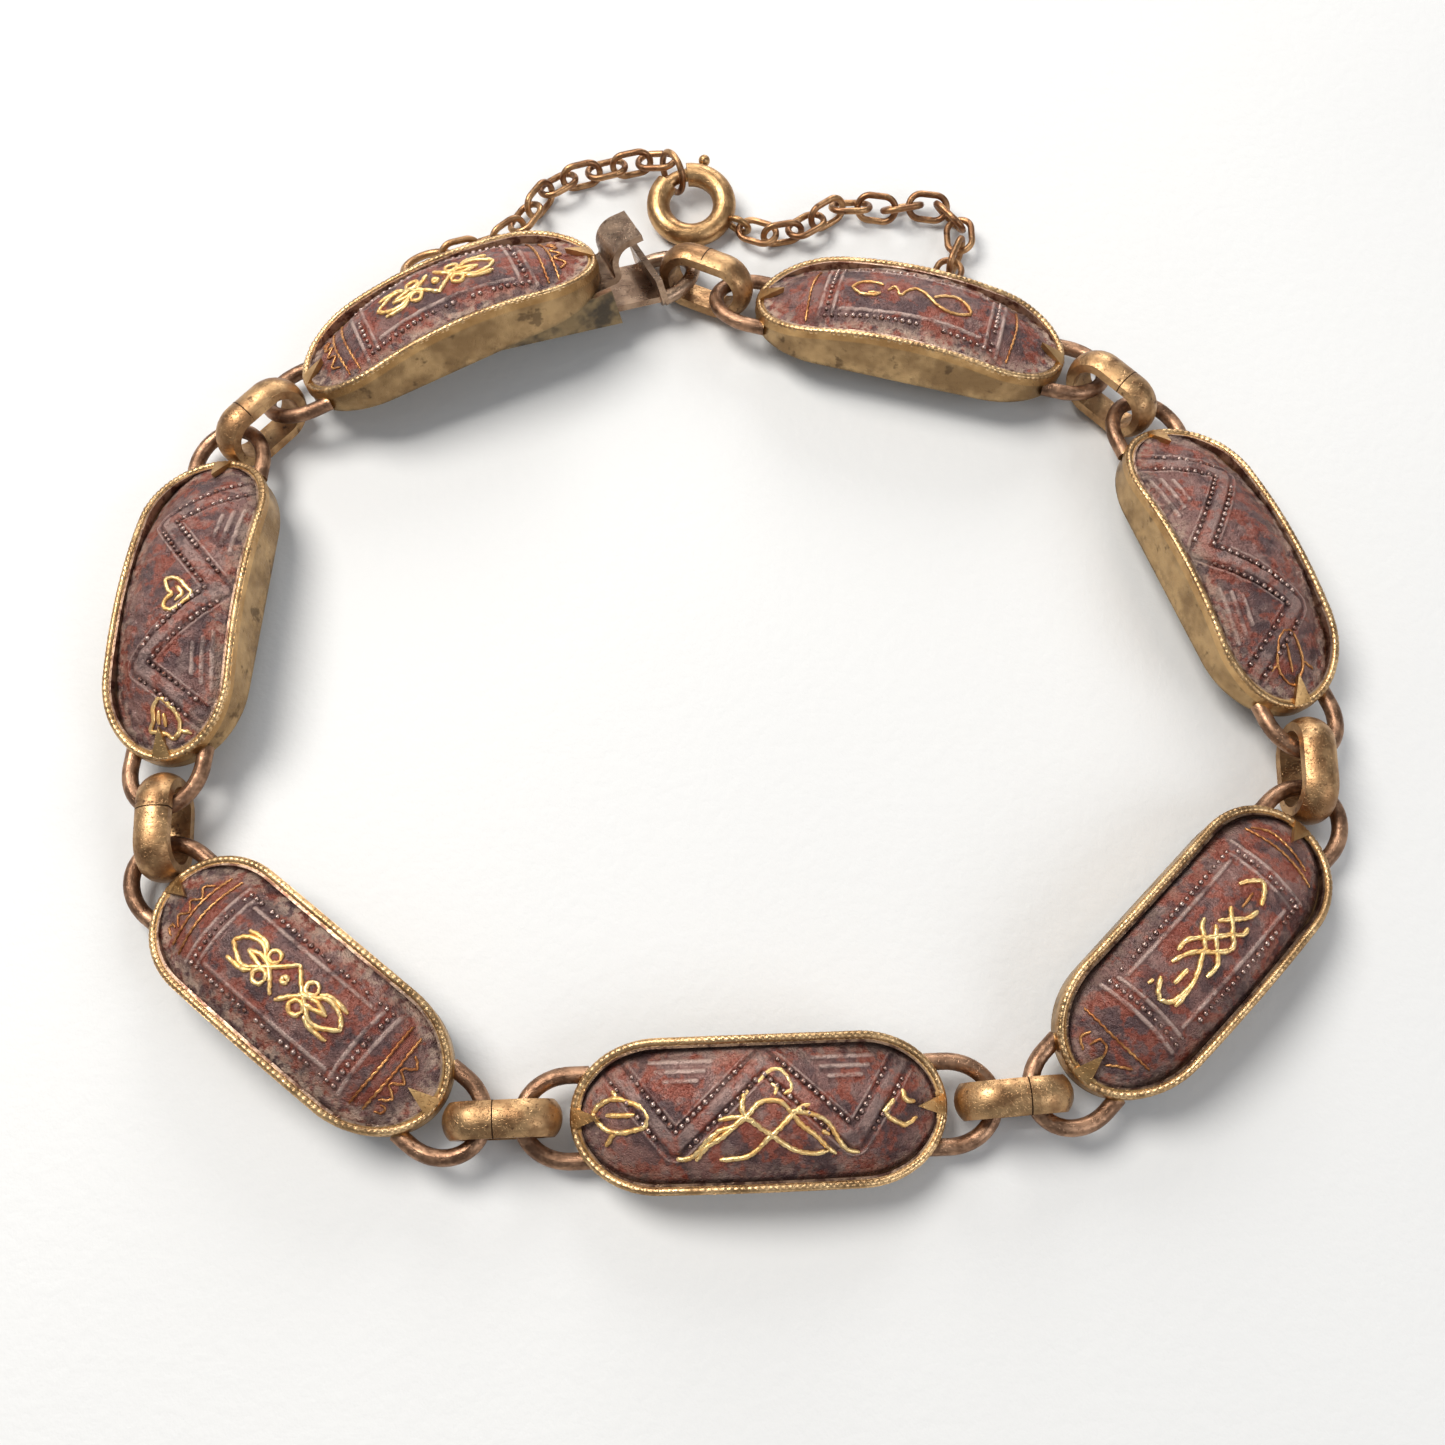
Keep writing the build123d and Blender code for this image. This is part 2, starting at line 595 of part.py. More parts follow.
def tongue():
    """Lower leaf with its end plate and staple, folded back into the upper leaf with the thumb piece."""
    fold_x = pocket_mouth + tongue_reach_inside
    upper = -tongue_gap - tongue_sheet / 2
    lower = leaf_height(fold_x)
    fold_radius = (upper - lower) / (1 + math.cos(slope))
    bend = tongue_sheet
    lower_line = Line((plate_x, leaf_height(plate_x)), (fold_x, lower))
    fold = JernArc((fold_x, lower), (math.cos(slope), math.sin(slope)), fold_radius,
                   180 - math.degrees(slope))
    upper_line = Line(fold @ 1, (pocket_mouth - thumb_offset + bend, upper))
    upturn = JernArc(upper_line @ 1, (-1, 0), bend, -90)
    neck = Line(upturn @ 1, (pocket_mouth - thumb_offset, thumb_height - thumb_radius))
    curl = JernArc(neck @ 1, (0, 1), thumb_radius, 90)
    lip = Line(curl @ 1, (curl @ 1) - Vector(thumb_lip, 0))
    broad = Plane.XZ * trace(Curve() + [lower_line], tongue_sheet)
    narrow = Plane.XZ * trace(Curve() + [fold, upper_line, upturn, neck, curl, lip], tongue_sheet)
    body = extrude(broad, tongue_width / 2, both=True) + extrude(narrow, thumb_width / 2, both=True)
    plate_low = leaf_height(plate_x) - tongue_sheet / 2 - end_plate_drop
    plate = Pos(0, plate_low + end_plate_height / 2) * Rectangle(end_plate_width, end_plate_height)
    plate = fillet(plate.vertices().group_by(Axis.Y)[0], end_plate_corner)
    plate = Plane(origin=(plate_x, 0, 0), x_dir=(0, 1, 0), z_dir=(1, 0, 0)) * plate
    body = body + extrude(plate, tongue_sheet / 2, both=True)
    ring = Pos(plate_x - tongue_sheet / 2, 0, leaf_height(plate_x)) * Rot(0, 0, 180) * staple(tongue_sheet / 2)
    return body + ring


# Safety chain

def chain_link(length, width):
    """Round-wire link lying in the XY plane along X."""
    radius = (width - chain_wire) / 2
    straight = (length - width) / 2
    if straight < chain_wire / 10:
        return Torus(radius, chain_wire / 2)
    path = Curve() + [
        Line((-straight, -radius), (straight, -radius)),
        ThreePointArc((straight, -radius), (straight + radius, 0), (straight, radius)),
        Line((straight, radius), (-straight, radius)),
        ThreePointArc((-straight, radius), (-straight - radius, 0), (-straight, -radius)),
    ]
    return sweep(Plane(origin=(-straight, -radius, 0), z_dir=(1, 0, 0)) * Circle(chain_wire / 2), path)


def settle(route, pitch):
    """Points one pitch apart that start and end where the route does and keep near it."""
    route = [Vector(*point) for point in route]
    lengths = [(b - a).length for a, b in zip(route, route[1:])]
    count = round(sum(lengths) / pitch)
    points = []
    for i in range(count + 1):
        left, piece = sum(lengths) * i / count, 0
        while piece < len(lengths) - 1 and left > lengths[piece]:
            left -= lengths[piece]
            piece += 1
        points.append(route[piece] + (route[piece + 1] - route[piece]) * min(1, left / lengths[piece]))
    for step in range(300):
        points[-1] = route[-1]
        for i in range(count - 1, -1, -1):
            points[i] = points[i + 1] + (points[i] - points[i + 1]).normalized() * pitch
        points[0] = route[0]
        for i in range(1, count + 1):
            points[i] = points[i - 1] + (points[i] - points[i - 1]).normalized() * pitch
    return points


def chain_along(points, first_roll, last_roll):
    """Links hung from point to point, each rolled about a quarter turn from the one before."""
    count = len(points) - 1
    twist = (last_roll - first_roll - 90 * (count - 1) + 90) % 180 - 90
    link = chain_link(chain_link_length, chain_link_width)
    links = []
    for i, (start, end) in enumerate(zip(points, points[1:])):
        along = (end - start).normalized()
        level = Vector(0, 0, 1).cross(along).normalized()
        frame = Plane(origin=(start + end) * 0.5, x_dir=along, z_dir=along.cross(level))
        links.append(Location(frame) * Rot(first_roll + 90 * i + twist * i / (count - 1), 0, 0) * link)
    return links


lug_locations = [tray_locations[i] * Pos(offset, -panel_width / 2 + rim_proud, lug_height)
                 for i, offset in ((0, lug_offset_first), (len(TRAY_POSES) - 1, lug_offset_last))]
lug_hole = lug_radius - lug_wire / 2 - guard_ring_wire / 2 - wire_slack
guard_radius = (guard_ring_diameter - guard_ring_wire) / 2
guard_start = (lug_locations[0] * Pos(0, -lug_hole, 0)).position
guard_heading = TRAY_POSES[0][0]
guard_frame = Location(guard_start) * Rot(0, 0, guard_heading) * Rot(guard_ring_lean, 0, 0) * Pos(0, -guard_radius, 0)

bolt_ring_radius = (bolt_ring_diameter - bolt_ring_tube) / 2
bolt_ring_height = bolt_ring_tube / 2 + bolt_ring_radius * math.sin(math.radians(bolt_ring_tilt)) + floor_gap
bolt_ring_frame = Pos(*BOLT_RING_CENTRE, bolt_ring_height) * Rot(bolt_ring_tilt, 0, 0)


def ring_sector(radius, start, end):
    """Part of the bolt ring's torus between two angles, with a round section of the given radius."""
    section = Pos(bolt_ring_radius, 0, 0) * (Plane.XZ * (Rot(0, 0, 90) * Circle(radius)))
    return Rot(0, 0, start) * revolve(section, Axis.Z, end - start)


def bolt_ring():
    """Hollow ring with an opening, a slot for the bolt's stem and a soldered eye."""
    channel = bolt_diameter / 2 + bolt_clearance
    tail_end = bolt_opening_start - bolt_tail - bolt_travel - bolt_seat
    body = ring_sector(bolt_ring_tube / 2, bolt_opening_end, bolt_opening_start + 360)
    body = body - ring_sector(channel, tail_end, bolt_opening_start + 1)
    body = body - ring_sector(channel, bolt_opening_end - 1, bolt_opening_end + 1.5 * bolt_seat)
    slot = Pos(bolt_ring_radius + bolt_ring_tube / 2, 0, 0) * (Plane.XZ * Rectangle(bolt_ring_tube, bolt_slot_width))
    slot_margin = math.degrees(bolt_slot_width / bolt_ring_diameter)
    slot_start = bolt_knob_angle - bolt_travel - slot_margin
    body = body - Rot(0, 0, slot_start) * revolve(slot, Axis.Z, bolt_travel + 2 * slot_margin)
    eye_distance = bolt_ring_diameter / 2 + eye_diameter / 2 - eye_wire
    eye = Pos(eye_distance, 0, 0) * Rot(90, 0, 0) * Torus((eye_diameter - eye_wire) / 2, eye_wire / 2)
    return body + Rot(0, 0, eye_angle) * eye


def bolt():
    """Curved rod with its stem and knob, closed across the opening."""
    rod = ring_sector(bolt_diameter / 2, bolt_opening_start - bolt_tail, bolt_opening_end + bolt_seat)
    knob_distance = bolt_ring_diameter / 2 + bolt_knob / 2
    stem = Pos((bolt_ring_radius + knob_distance) / 2, 0, 0) * Rot(0, 90, 0) * Cylinder(
        bolt_stem / 2, knob_distance - bolt_ring_radius)
    knob = Pos(knob_distance, 0, 0) * Sphere(bolt_knob / 2)
    return rod + Rot(0, 0, bolt_knob_angle) * (stem + knob)


def hooked(wire_point, wire, towards):
    """First interlock point of a chain whose end link passes round a thicker wire."""
    along = (towards - wire_point).normalized()
    return wire_point - along * (wire / 2)


def safety_chains():
    """The left length from the guard ring to the bolt, and the right one from the eye to the last lug."""
    pitch = chain_link_length - 2 * chain_wire - chain_slack
    left = [Vector(*point) for point in LEFT_ROUTE]
    right = [Vector(*point) for point in RIGHT_ROUTE]
    angle = math.radians(guard_chain_angle)
    ring_wire = (guard_frame * Pos(guard_radius * math.cos(angle), guard_radius * math.sin(angle), 0)).position
    middle_angle = (bolt_opening_start + bolt_opening_end) / 2
    rod_middle = bolt_ring_frame * Rot(0, 0, middle_angle) * Pos(bolt_ring_radius, 0, 0)
    end_radius = (end_ring_diameter - chain_wire) / 2
    hold = bolt_diameter / 2 + chain_wire / 2 + chain_slack / 2
    end_frame = rod_middle * Rot(end_ring_tilt, 0, 0) * Pos(end_radius - hold, 0, 0)
    end_ring = end_frame * Rot(90, 0, 0) * chain_link(end_ring_diameter, end_ring_diameter)
    end_pull = end_frame * Rot(0, 0, end_ring_pull)
    end_point = (end_pull * Pos(end_radius - (chain_wire + chain_slack) / 2, 0, 0)).position
    left_points = settle([hooked(ring_wire, guard_ring_wire, left[0])] + left + [end_point], pitch)
    eye_far = bolt_ring_diameter / 2 + eye_diameter - 1.5 * eye_wire
    eye_point = (bolt_ring_frame * Rot(0, 0, eye_angle) * Pos(eye_far, 0, 0)).position
    lug_point = (lug_locations[1] * Pos(0, -lug_radius, 0)).position
    right_points = settle([hooked(eye_point, eye_wire, right[0])] + right
                          + [hooked(lug_point, lug_wire, right[-1])], pitch)
    left_links = chain_along(left_points, guard_chain_roll, -end_ring_tilt)
    return left_links + [end_ring], chain_along(right_points, 0, 0)


# All pieces in place

def gathered(shape):
    return Compound(children=list(shape.solids()))


nodes = {}
last = len(TRAY_POSES) - 1
plaques = {pattern: gathered(plaque(pattern)) for pattern in set(PATTERNS)}
inlays = {pattern: inlay(pattern) for pattern in set(PATTERNS)}
for i, place in enumerate(tray_locations):
    setting = tray(True, i > 0)
    if i == 0:
        setting = setting + pocket()
    if i == 0:
        setting = setting + lug(lug_offset_first)
    if i == last:
        setting = setting + lug(lug_offset_last)
    nodes[f"setting_{i + 1}"] = place * gathered(setting)
    nodes[f"plaque_{i + 1}"] = place * plaques[PATTERNS[i]]
    nodes[f"inlay_{i + 1}"] = place * inlays[PATTERNS[i]]
for i, lean in enumerate(LINK_LEANS):
    if i < last:
        start, end = seat(i, 1), seat(i + 1, -1)
    else:
        staple_x = plate_x - tongue_sheet / 2 - link_seat
        start = seat(i, 1)
        end = (tray_locations[0] * Pos(staple_x, 0, leaf_height(plate_x))).position
    nodes[f"link_{i + 1}"] = link_location(start, end, lean) * gathered(oval_link())
nodes["clasp_tongue"] = tray_locations[0] * gathered(tongue())
nodes["guard_ring"] = guard_frame * Torus(guard_radius, guard_ring_wire / 2)
nodes["bolt_ring"] = bolt_ring_frame * gathered(bolt_ring())
nodes["bolt"] = bolt_ring_frame * gathered(bolt())
left_chain, right_chain = safety_chains()
nodes["safety_chain_left"] = Compound(children=left_chain)
nodes["safety_chain_right"] = Compound(children=right_chain)

boxes = [part.bounding_box() for name, part in nodes.items() if not name.startswith(("plaque", "inlay"))]
shift = Pos(-(min(box.min.X for box in boxes) + max(box.max.X for box in boxes)) / 2,
            -(min(box.min.Y for box in boxes) + max(box.max.Y for box in boxes)) / 2,
            -min(box.min.Z for box in boxes))
for name, part in nodes.items():
    placed = Compound(children=[shift * solid for solid in part.solids()])
    export_step(placed, f"parts/{name}.step")
    print(name, len(placed.solids()), round(placed.volume, 2))
origin = shift.position
print("shift", origin.X, origin.Y, origin.Z)
hinge = (shift * bolt_ring_frame).position
print("bolt hinge", hinge.X, hinge.Y, hinge.Z)
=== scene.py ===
import math
import random

import bmesh
import bpy
import numpy as np
from mathutils import Matrix, Vector


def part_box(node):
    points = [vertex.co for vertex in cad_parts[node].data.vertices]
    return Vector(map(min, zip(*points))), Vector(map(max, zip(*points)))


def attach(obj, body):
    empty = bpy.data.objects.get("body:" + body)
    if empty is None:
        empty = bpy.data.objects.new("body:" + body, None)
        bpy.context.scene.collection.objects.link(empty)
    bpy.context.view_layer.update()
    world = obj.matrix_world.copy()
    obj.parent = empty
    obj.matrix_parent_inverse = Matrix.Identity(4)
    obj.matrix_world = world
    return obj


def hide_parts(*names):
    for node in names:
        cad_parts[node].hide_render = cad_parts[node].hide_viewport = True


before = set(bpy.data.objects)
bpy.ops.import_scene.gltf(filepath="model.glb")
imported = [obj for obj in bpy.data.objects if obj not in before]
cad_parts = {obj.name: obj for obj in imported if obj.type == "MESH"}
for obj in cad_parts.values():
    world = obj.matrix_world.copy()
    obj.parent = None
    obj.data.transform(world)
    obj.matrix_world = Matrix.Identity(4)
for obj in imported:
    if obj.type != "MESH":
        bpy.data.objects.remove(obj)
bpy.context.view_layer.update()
scene = bpy.context.scene

MM = 0.001

# Tray and plaque sizes, in millimetres
PANEL_LENGTH, PANEL_WIDTH, END_DEPTH = 19.5, 7.8, 4.6
WALL_MIDDLE, WALL_END = 3.0, 1.1
RIM_WIDTH = 0.55
PLAQUE_INSET = RIM_WIDTH + 0.12
PLAQUE_LENGTH = PANEL_LENGTH - 2 * PLAQUE_INSET
PLAQUE_WIDTH = PANEL_WIDTH - 2 * PLAQUE_INSET
PLAQUE_END = END_DEPTH - PLAQUE_INSET
PLAQUE_FOOT = 0.58
PLAQUE_TOP, PLAQUE_TOP_END = 3.9, 1.2
SIDE_DROP = 1.2
STAPLE_RISE = 0.55
LINK_SEAT = 0.8
LINK_HEIGHT, LINK_WIDTH, LINK_THICKNESS, LINK_EDGE = 4.2, 1.9, 0.9, 0.5

# Each tray's heading, outward lean and the rise of its leading end, in degrees
TRAY_POSES = [(206.0, 22.0, -5.5), (267.5, 11.5, 2.4), (322.0, 3.5, 1.5), (362.9, 10.5, 0.0),
              (406.4, 5.5, -1.4), (470.5, 12.0, -1.8), (526.5, 17.0, 0.0)]
PATTERNS = ["knot", "heart", "knot", "bud", "lattice", "bough", "pair"]
# Each link's heading and lean, in degrees; the last one heads from its tray's staple to its own middle
LINK_HEADINGS = [228.0, 274.0, 364.0, 365.0, 448.0, 496.0]
LINK_LEANS = [17.0, 7.5, 6.0, 7.0, 8.0, 16.0, 21.0]

# The photograph's camera, from the middle of the loop's work surface, in millimetres
CAMERA_PLACE = (0.0, -35.19, 89.03)
CAMERA_FOCUS = (-2.13, 22.2)
CAMERA_ROLL = 0.757
CAMERA_LENS = 36.0 * 1657.3 / 1445.0


# Placement

def turn(axis, degrees):
    return Matrix.Rotation(math.radians(degrees), 4, axis)


def half_width_at(x, length, width, end):
    """Half the width of an oval with straight long sides and half-oval ends."""
    past = max(abs(x) - (length / 2 - end), 0.0) / end
    return width / 2 * math.sqrt(max(1.0 - past * past, 0.0))


def arc_radius(half_chord, rise):
    return (half_chord ** 2 + rise ** 2) / (2 * rise)


LONG_RADIUS = arc_radius(PLAQUE_LENGTH / 2, PLAQUE_TOP - PLAQUE_TOP_END)
CROSS_RADIUS = arc_radius(PLAQUE_WIDTH / 2, SIDE_DROP)
RIM_RADIUS = arc_radius(PANEL_LENGTH / 2, WALL_MIDDLE - WALL_END)


def dome_height(x, y):
    """Height of the plaque's domed top above the tray's base."""
    crest = PLAQUE_TOP - CROSS_RADIUS + np.sqrt(CROSS_RADIUS ** 2 - y ** 2)
    return PLAQUE_TOP - LONG_RADIUS + np.sqrt((crest - PLAQUE_TOP + LONG_RADIUS) ** 2 - x ** 2)


def rim_height(x):
    return WALL_MIDDLE - RIM_RADIUS + math.sqrt(RIM_RADIUS ** 2 - x * x)


def oval_points(length, width, end, spacing):
    """Points round an oval, anticlockwise from the middle of its -Y side."""
    straight = length / 2 - end
    points = []
    count = max(2, round(2 * straight / spacing))
    arc_count = max(6, round(math.pi * (end + width / 2) / 2 / spacing))
    for side in (1, -1):
        for i in range(count):
            points.append((side * (-straight + 2 * straight * i / count), -side * width / 2))
        for i in range(arc_count):
            angle = math.pi * (i / arc_count - 0.5)
            points.append((side * (straight + end * math.cos(angle)), side * width / 2 * math.sin(angle)))
    return points


def tray_frames():
    """Each tray's frame in millimetres: its turn is known and its place comes from its plaque's box."""
    frames = []
    outline = oval_points(PLAQUE_LENGTH, PLAQUE_WIDTH, PLAQUE_END, 0.05)
    solid = [Vector((x, y, PLAQUE_FOOT)) for x, y in outline]
    solid += [Vector((x, y, dome_height(x, y))) for x, y in outline]
    for i, (heading, lean, tip) in enumerate(TRAY_POSES):
        turned = turn("Z", heading) @ turn("Y", -tip) @ turn("X", lean)
        placed = np.array([turned @ point for point in solid])
        low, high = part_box(f"plaque_{i + 1}")
        middle = (low + high) / 2 / MM
        guess = (placed.min(0) + placed.max(0)) / 2
        offset = Vector((middle.x - guess[0], middle.y - guess[1], low.z / MM - placed[:, 2].min()))
        frames.append(Matrix.Translation(offset) @ turned)
    return frames


TRAYS = tray_frames()
TO_METRES = Matrix.Scale(MM, 4)


def new_mesh(name, points, faces=(), edges=(), place=Matrix.Identity(4)):
    """A mesh from points in millimetres in the given frame."""
    made = bpy.data.meshes.new(name)
    at = TO_METRES @ place
    made.from_pydata([at @ Vector(point) for point in points], list(edges), list(faces))
    made.update()
    return made


def new_piece(name, mesh, body="bracelet", smooth=True):
    piece = bpy.data.objects.new(name, mesh)
    scene.collection.objects.link(piece)
    for polygon in mesh.polygons:
        polygon.use_smooth = smooth
    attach(piece, body)
    return piece


def set_floats(mesh, name, values):
    attribute = mesh.attributes.new(name, "FLOAT", "POINT")
    attribute.data.foreach_set("value", np.asarray(values, np.float32))


# Node helpers

class Nodes:
    """Adds and joins nodes in one tree."""

    def __init__(self, tree):
        self.tree = tree

    def add(self, kind, inputs=None, **settings):
        node = self.tree.nodes.new(kind)
        for key, value in settings.items():
            setattr(node, key, value)
        for key, value in (inputs or {}).items():
            self.feed(value, node.inputs[key])
        return node

    def feed(self, value, socket):
        if isinstance(value, bpy.types.NodeSocket):
            self.tree.links.new(value, socket)
        else:
            socket.default_value = value

    def math(self, operation, a, b=0.0, clamp=False):
        node = self.add("ShaderNodeMath", {0: a, 1: b}, operation=operation, use_clamp=clamp)
        return node.outputs[0]

    def ramp(self, value, low, high):
        node = self.add("ShaderNodeMapRange", {"Value": value, "From Min": low, "From Max": high},
                        interpolation_type="SMOOTHSTEP")
        return node.outputs[0]

    def mix(self, share, a, b):
        node = self.add("ShaderNodeMix", data_type="RGBA")
        self.feed(share, node.inputs[0])
        self.feed(a, node.inputs[6])
        self.feed(b, node.inputs[7])
        return node.outputs[2]

    def noise(self, vector, scale, detail=3.0, roughness=0.6):
        node = self.add("ShaderNodeTexNoise", {"Vector": vector, "Scale": scale, "Detail": detail,
                                               "Roughness": roughness})
        return node.outputs[0]

    def shifted(self, vector, seed):
        """The vector moved by a seed, so that two pieces never show the same patches."""
        away = self.math("MULTIPLY", seed, 17.3)
        return self.add("ShaderNodeVectorMath", {0: vector, 1: away}, operation="ADD").outputs[0]


def colour(red, green, blue):
    """A display colour from 0 to 255 as linear light."""
    parts = [(c / 255 / 12.92) if c <= 10 else ((c / 255 + 0.055) / 1.055) ** 2.4 for c in (red, green, blue)]
    return (*parts, 1.0)


def new_group(name, kind, inputs, outputs):
    tree = bpy.data.node_groups.new(name, kind)
    for label, socket_type, default in inputs:
        socket = tree.interface.new_socket(label, in_out="INPUT", socket_type=socket_type)
        if default is not None:
            socket.default_value = default
    for label, socket_type in outputs:
        tree.interface.new_socket(label, in_out="OUTPUT", socket_type=socket_type)
    nodes = Nodes(tree)
    return nodes, nodes.add("NodeGroupInput").outputs, nodes.add("NodeGroupOutput").inputs


FLOAT, VECTOR, GEOMETRY = "NodeSocketFloat", "NodeSocketVector", "NodeSocketGeometry"


# Finish effects shared by the materials; their vectors are in millimetres

# Where a tray's zones begin and are full: as shares of its oval, or in millimetres from its base, its arched
# top or its middle line
STAPLE_FROM, STAPLE_FULL = 1.003, 1.02
ABOVE_FROM, ABOVE_FULL = -0.12, 0.0
LEDGE_INNER, LEDGE_OUTER = 0.885, 0.905
CLAW_HALF, CLAW_CLEAR = 0.6, 0.72
RIM_FROM, RIM_FULL = 0.7, 0.45
UNDER_FROM, UNDER_FULL = 0.25, -0.15
# How far each plaque's crust fills the step up to the rim; more fill also leaves less painted shade in the
# gap there
CRUST_FILL = [0.9, 0.5, 0.85, 0.15, 0.1, 0.7, 1.0]


def patches_group():
    """Irregular stains or rust patches between two noise levels."""
    nodes, given, out = new_group("Patches", "ShaderNodeTree",
                                  [("Vector", VECTOR, None), ("Scale", FLOAT, 0.5), ("Seed", FLOAT, 0.0),
                                   ("Low", FLOAT, 0.5), ("High", FLOAT, 0.6)],
                                  [("Mask", FLOAT)])
    broad = nodes.noise(nodes.shifted(given["Vector"], given["Seed"]), given["Scale"], 3.0, 0.65)
    nodes.feed(nodes.ramp(broad, given["Low"], given["High"]), out["Mask"])
    return nodes.tree


def handling_group():
    """Fine pits and rubbed scratches on old metal, as a height and a roughness."""
    nodes, given, out = new_group("Handling marks", "ShaderNodeTree",
                                  [("Vector", VECTOR, None), ("Pit size", FLOAT, 0.15), ("Seed", FLOAT, 0.0),
                                   ("Smooth", FLOAT, 0.3), ("Rough", FLOAT, 0.5)],
                                  [("Height", FLOAT), ("Roughness", FLOAT)])
    grain_scale = nodes.math("DIVIDE", 1.0, given["Pit size"])
    grain = nodes.noise(given["Vector"], grain_scale, 1.0, 0.7)
    stretched = nodes.add("ShaderNodeMapping", {"Vector": given["Vector"], "Scale": (0.5, 6.0, 3.0),
                                                "Rotation": (0.3, 0.2, 0.7)})
    rubbed = nodes.noise(stretched.outputs[0], 1.5, 1.0, 0.5)
    pits = nodes.ramp(grain, 0.3, 0.45)
    height = nodes.math("ADD", nodes.math("MULTIPLY", pits, 0.7), nodes.math("MULTIPLY", rubbed, 0.3))
    nodes.feed(height, out["Height"])
    cloud = nodes.noise(nodes.shifted(given["Vector"], given["Seed"]), 0.9, 2.0, 0.6)
    blend = nodes.math("ADD", nodes.math("MULTIPLY", cloud, 0.7), nodes.math("MULTIPLY", rubbed, 0.3))
    level = nodes.ramp(blend, 0.35, 0.65)
    node = nodes.add("ShaderNodeMapRange", {"Value": level, "To Min": given["Smooth"],
                                            "To Max": given["Rough"]})
    nodes.feed(node.outputs[0], out["Roughness"])
    return nodes.tree


def tray_zones_group():
    """Which part of a tray a point is on, from its place in the tray's own frame."""
    nodes, given, out = new_group("Tray zones", "ShaderNodeTree", [("Place", VECTOR, None)],
                                  [("Staple", FLOAT), ("Rim", FLOAT), ("Ledge", FLOAT), ("Under", FLOAT),
                                   ("Side drop", FLOAT)])
    split = nodes.add("ShaderNodeSeparateXYZ", {0: given["Place"]}).outputs
    x = nodes.math("ABSOLUTE", split["X"])
    past = nodes.math("MAXIMUM", nodes.math("SUBTRACT", x, PANEL_LENGTH / 2 - END_DEPTH), 0.0)
    along = nodes.math("POWER", nodes.math("DIVIDE", past, END_DEPTH), 2.0)
    off_middle = nodes.math("ABSOLUTE", nodes.math("DIVIDE", split["Y"], PANEL_WIDTH / 2))
    across = nodes.math("POWER", off_middle, 2.0)
    oval = nodes.math("SQRT", nodes.math("ADD", along, across))
    above = nodes.ramp(split["Z"], ABOVE_FROM, ABOVE_FULL)
    nodes.feed(nodes.math("MULTIPLY", nodes.ramp(oval, STAPLE_FROM, STAPLE_FULL), above), out["Staple"])
    beside_claw = nodes.ramp(nodes.math("ABSOLUTE", split["Y"]), CLAW_HALF, CLAW_CLEAR)
    nodes.feed(nodes.math("MULTIPLY", nodes.ramp(oval, LEDGE_OUTER, LEDGE_INNER), beside_claw), out["Ledge"])
    top = nodes.math("SUBTRACT", WALL_MIDDLE, nodes.math("MULTIPLY", nodes.math("MULTIPLY", x, x),
                                                         0.5 / RIM_RADIUS))
    drop = nodes.math("SUBTRACT", top, split["Z"])
    nodes.feed(drop, out["Side drop"])
    nodes.feed(nodes.ramp(drop, RIM_FROM, RIM_FULL), out["Rim"])
    nodes.feed(nodes.ramp(split["Z"], UNDER_FROM, UNDER_FULL), out["Under"])
    return nodes.tree


PATCHES = patches_group()
HANDLING = handling_group()
ZONES = tray_zones_group()


class Finish(Nodes):
    """One metal's material: a Principled shader fed by the shared effects."""

    def __init__(self, name, metallic=1.0, roughness=0.4):
        self.material = bpy.data.materials.new(name)
        self.material.use_nodes = True
        super().__init__(self.material.node_tree)
        self.tree.nodes.clear()
        self.shader = self.add("ShaderNodeBsdfPrincipled", {"Metallic": metallic, "Roughness": roughness})
        output = self.add("ShaderNodeOutputMaterial")
        self.tree.links.new(self.shader.outputs[0], output.inputs[0])
        self.place = self.add("ShaderNodeTexCoord").outputs["Object"]
        self.millimetres = self.add("ShaderNodeMapping", {"Vector": self.place,
                                                          "Scale": (1 / MM,) * 3}).outputs[0]

    def group(self, tree, **inputs):
        node = self.add("ShaderNodeGroup", node_tree=tree)
        for key, value in inputs.items():
            self.feed(value, node.inputs[key.replace("_", " ")])
        return node.outputs

    def patches(self, scale, low, high, seed):
        return self.group(PATCHES, Vector=self.millimetres, Scale=scale, Low=low, High=high,
                          Seed=seed)["Mask"]

    def handling(self, pit, smooth, rough, seed):
        return self.group(HANDLING, Vector=self.millimetres, Pit_size=pit, Smooth=smooth, Rough=rough,
                          Seed=seed)

    def finish(self, base, roughness=None, height=None, distance=0.02):
        self.feed(base, self.shader.inputs["Base Color"])
        if roughness is not None:
            self.feed(roughness, self.shader.inputs["Roughness"])
        if height is not None:
            bump = self.add("ShaderNodeBump", {"Height": height, "Distance": distance * MM, "Strength": 1.0})
            self.feed(bump.outputs[0], self.shader.inputs["Normal"])
        return self.material


def worn_metal(name, bright, dull, stain, stain_share, smooth, rough, seed, pit=0.12, distance=0.015):
    """Old metal that is bright where it is rubbed and stained elsewhere."""
    finish = Finish(name)
    cloud = finish.patches(0.55, 0.38, 0.62, seed)
    base = finish.mix(cloud, bright, dull)
    spots = finish.patches(1.7, stain_share, stain_share + 0.12, seed + 3.0)
    base = finish.mix(finish.math("MULTIPLY", spots, 0.8), base, stain)
    marks = finish.handling(pit, smooth, rough, seed)
    roughness = finish.math("ADD", marks["Roughness"], finish.math("MULTIPLY", spots, 0.15))
    return finish.finish(base, roughness, marks["Height"], distance)


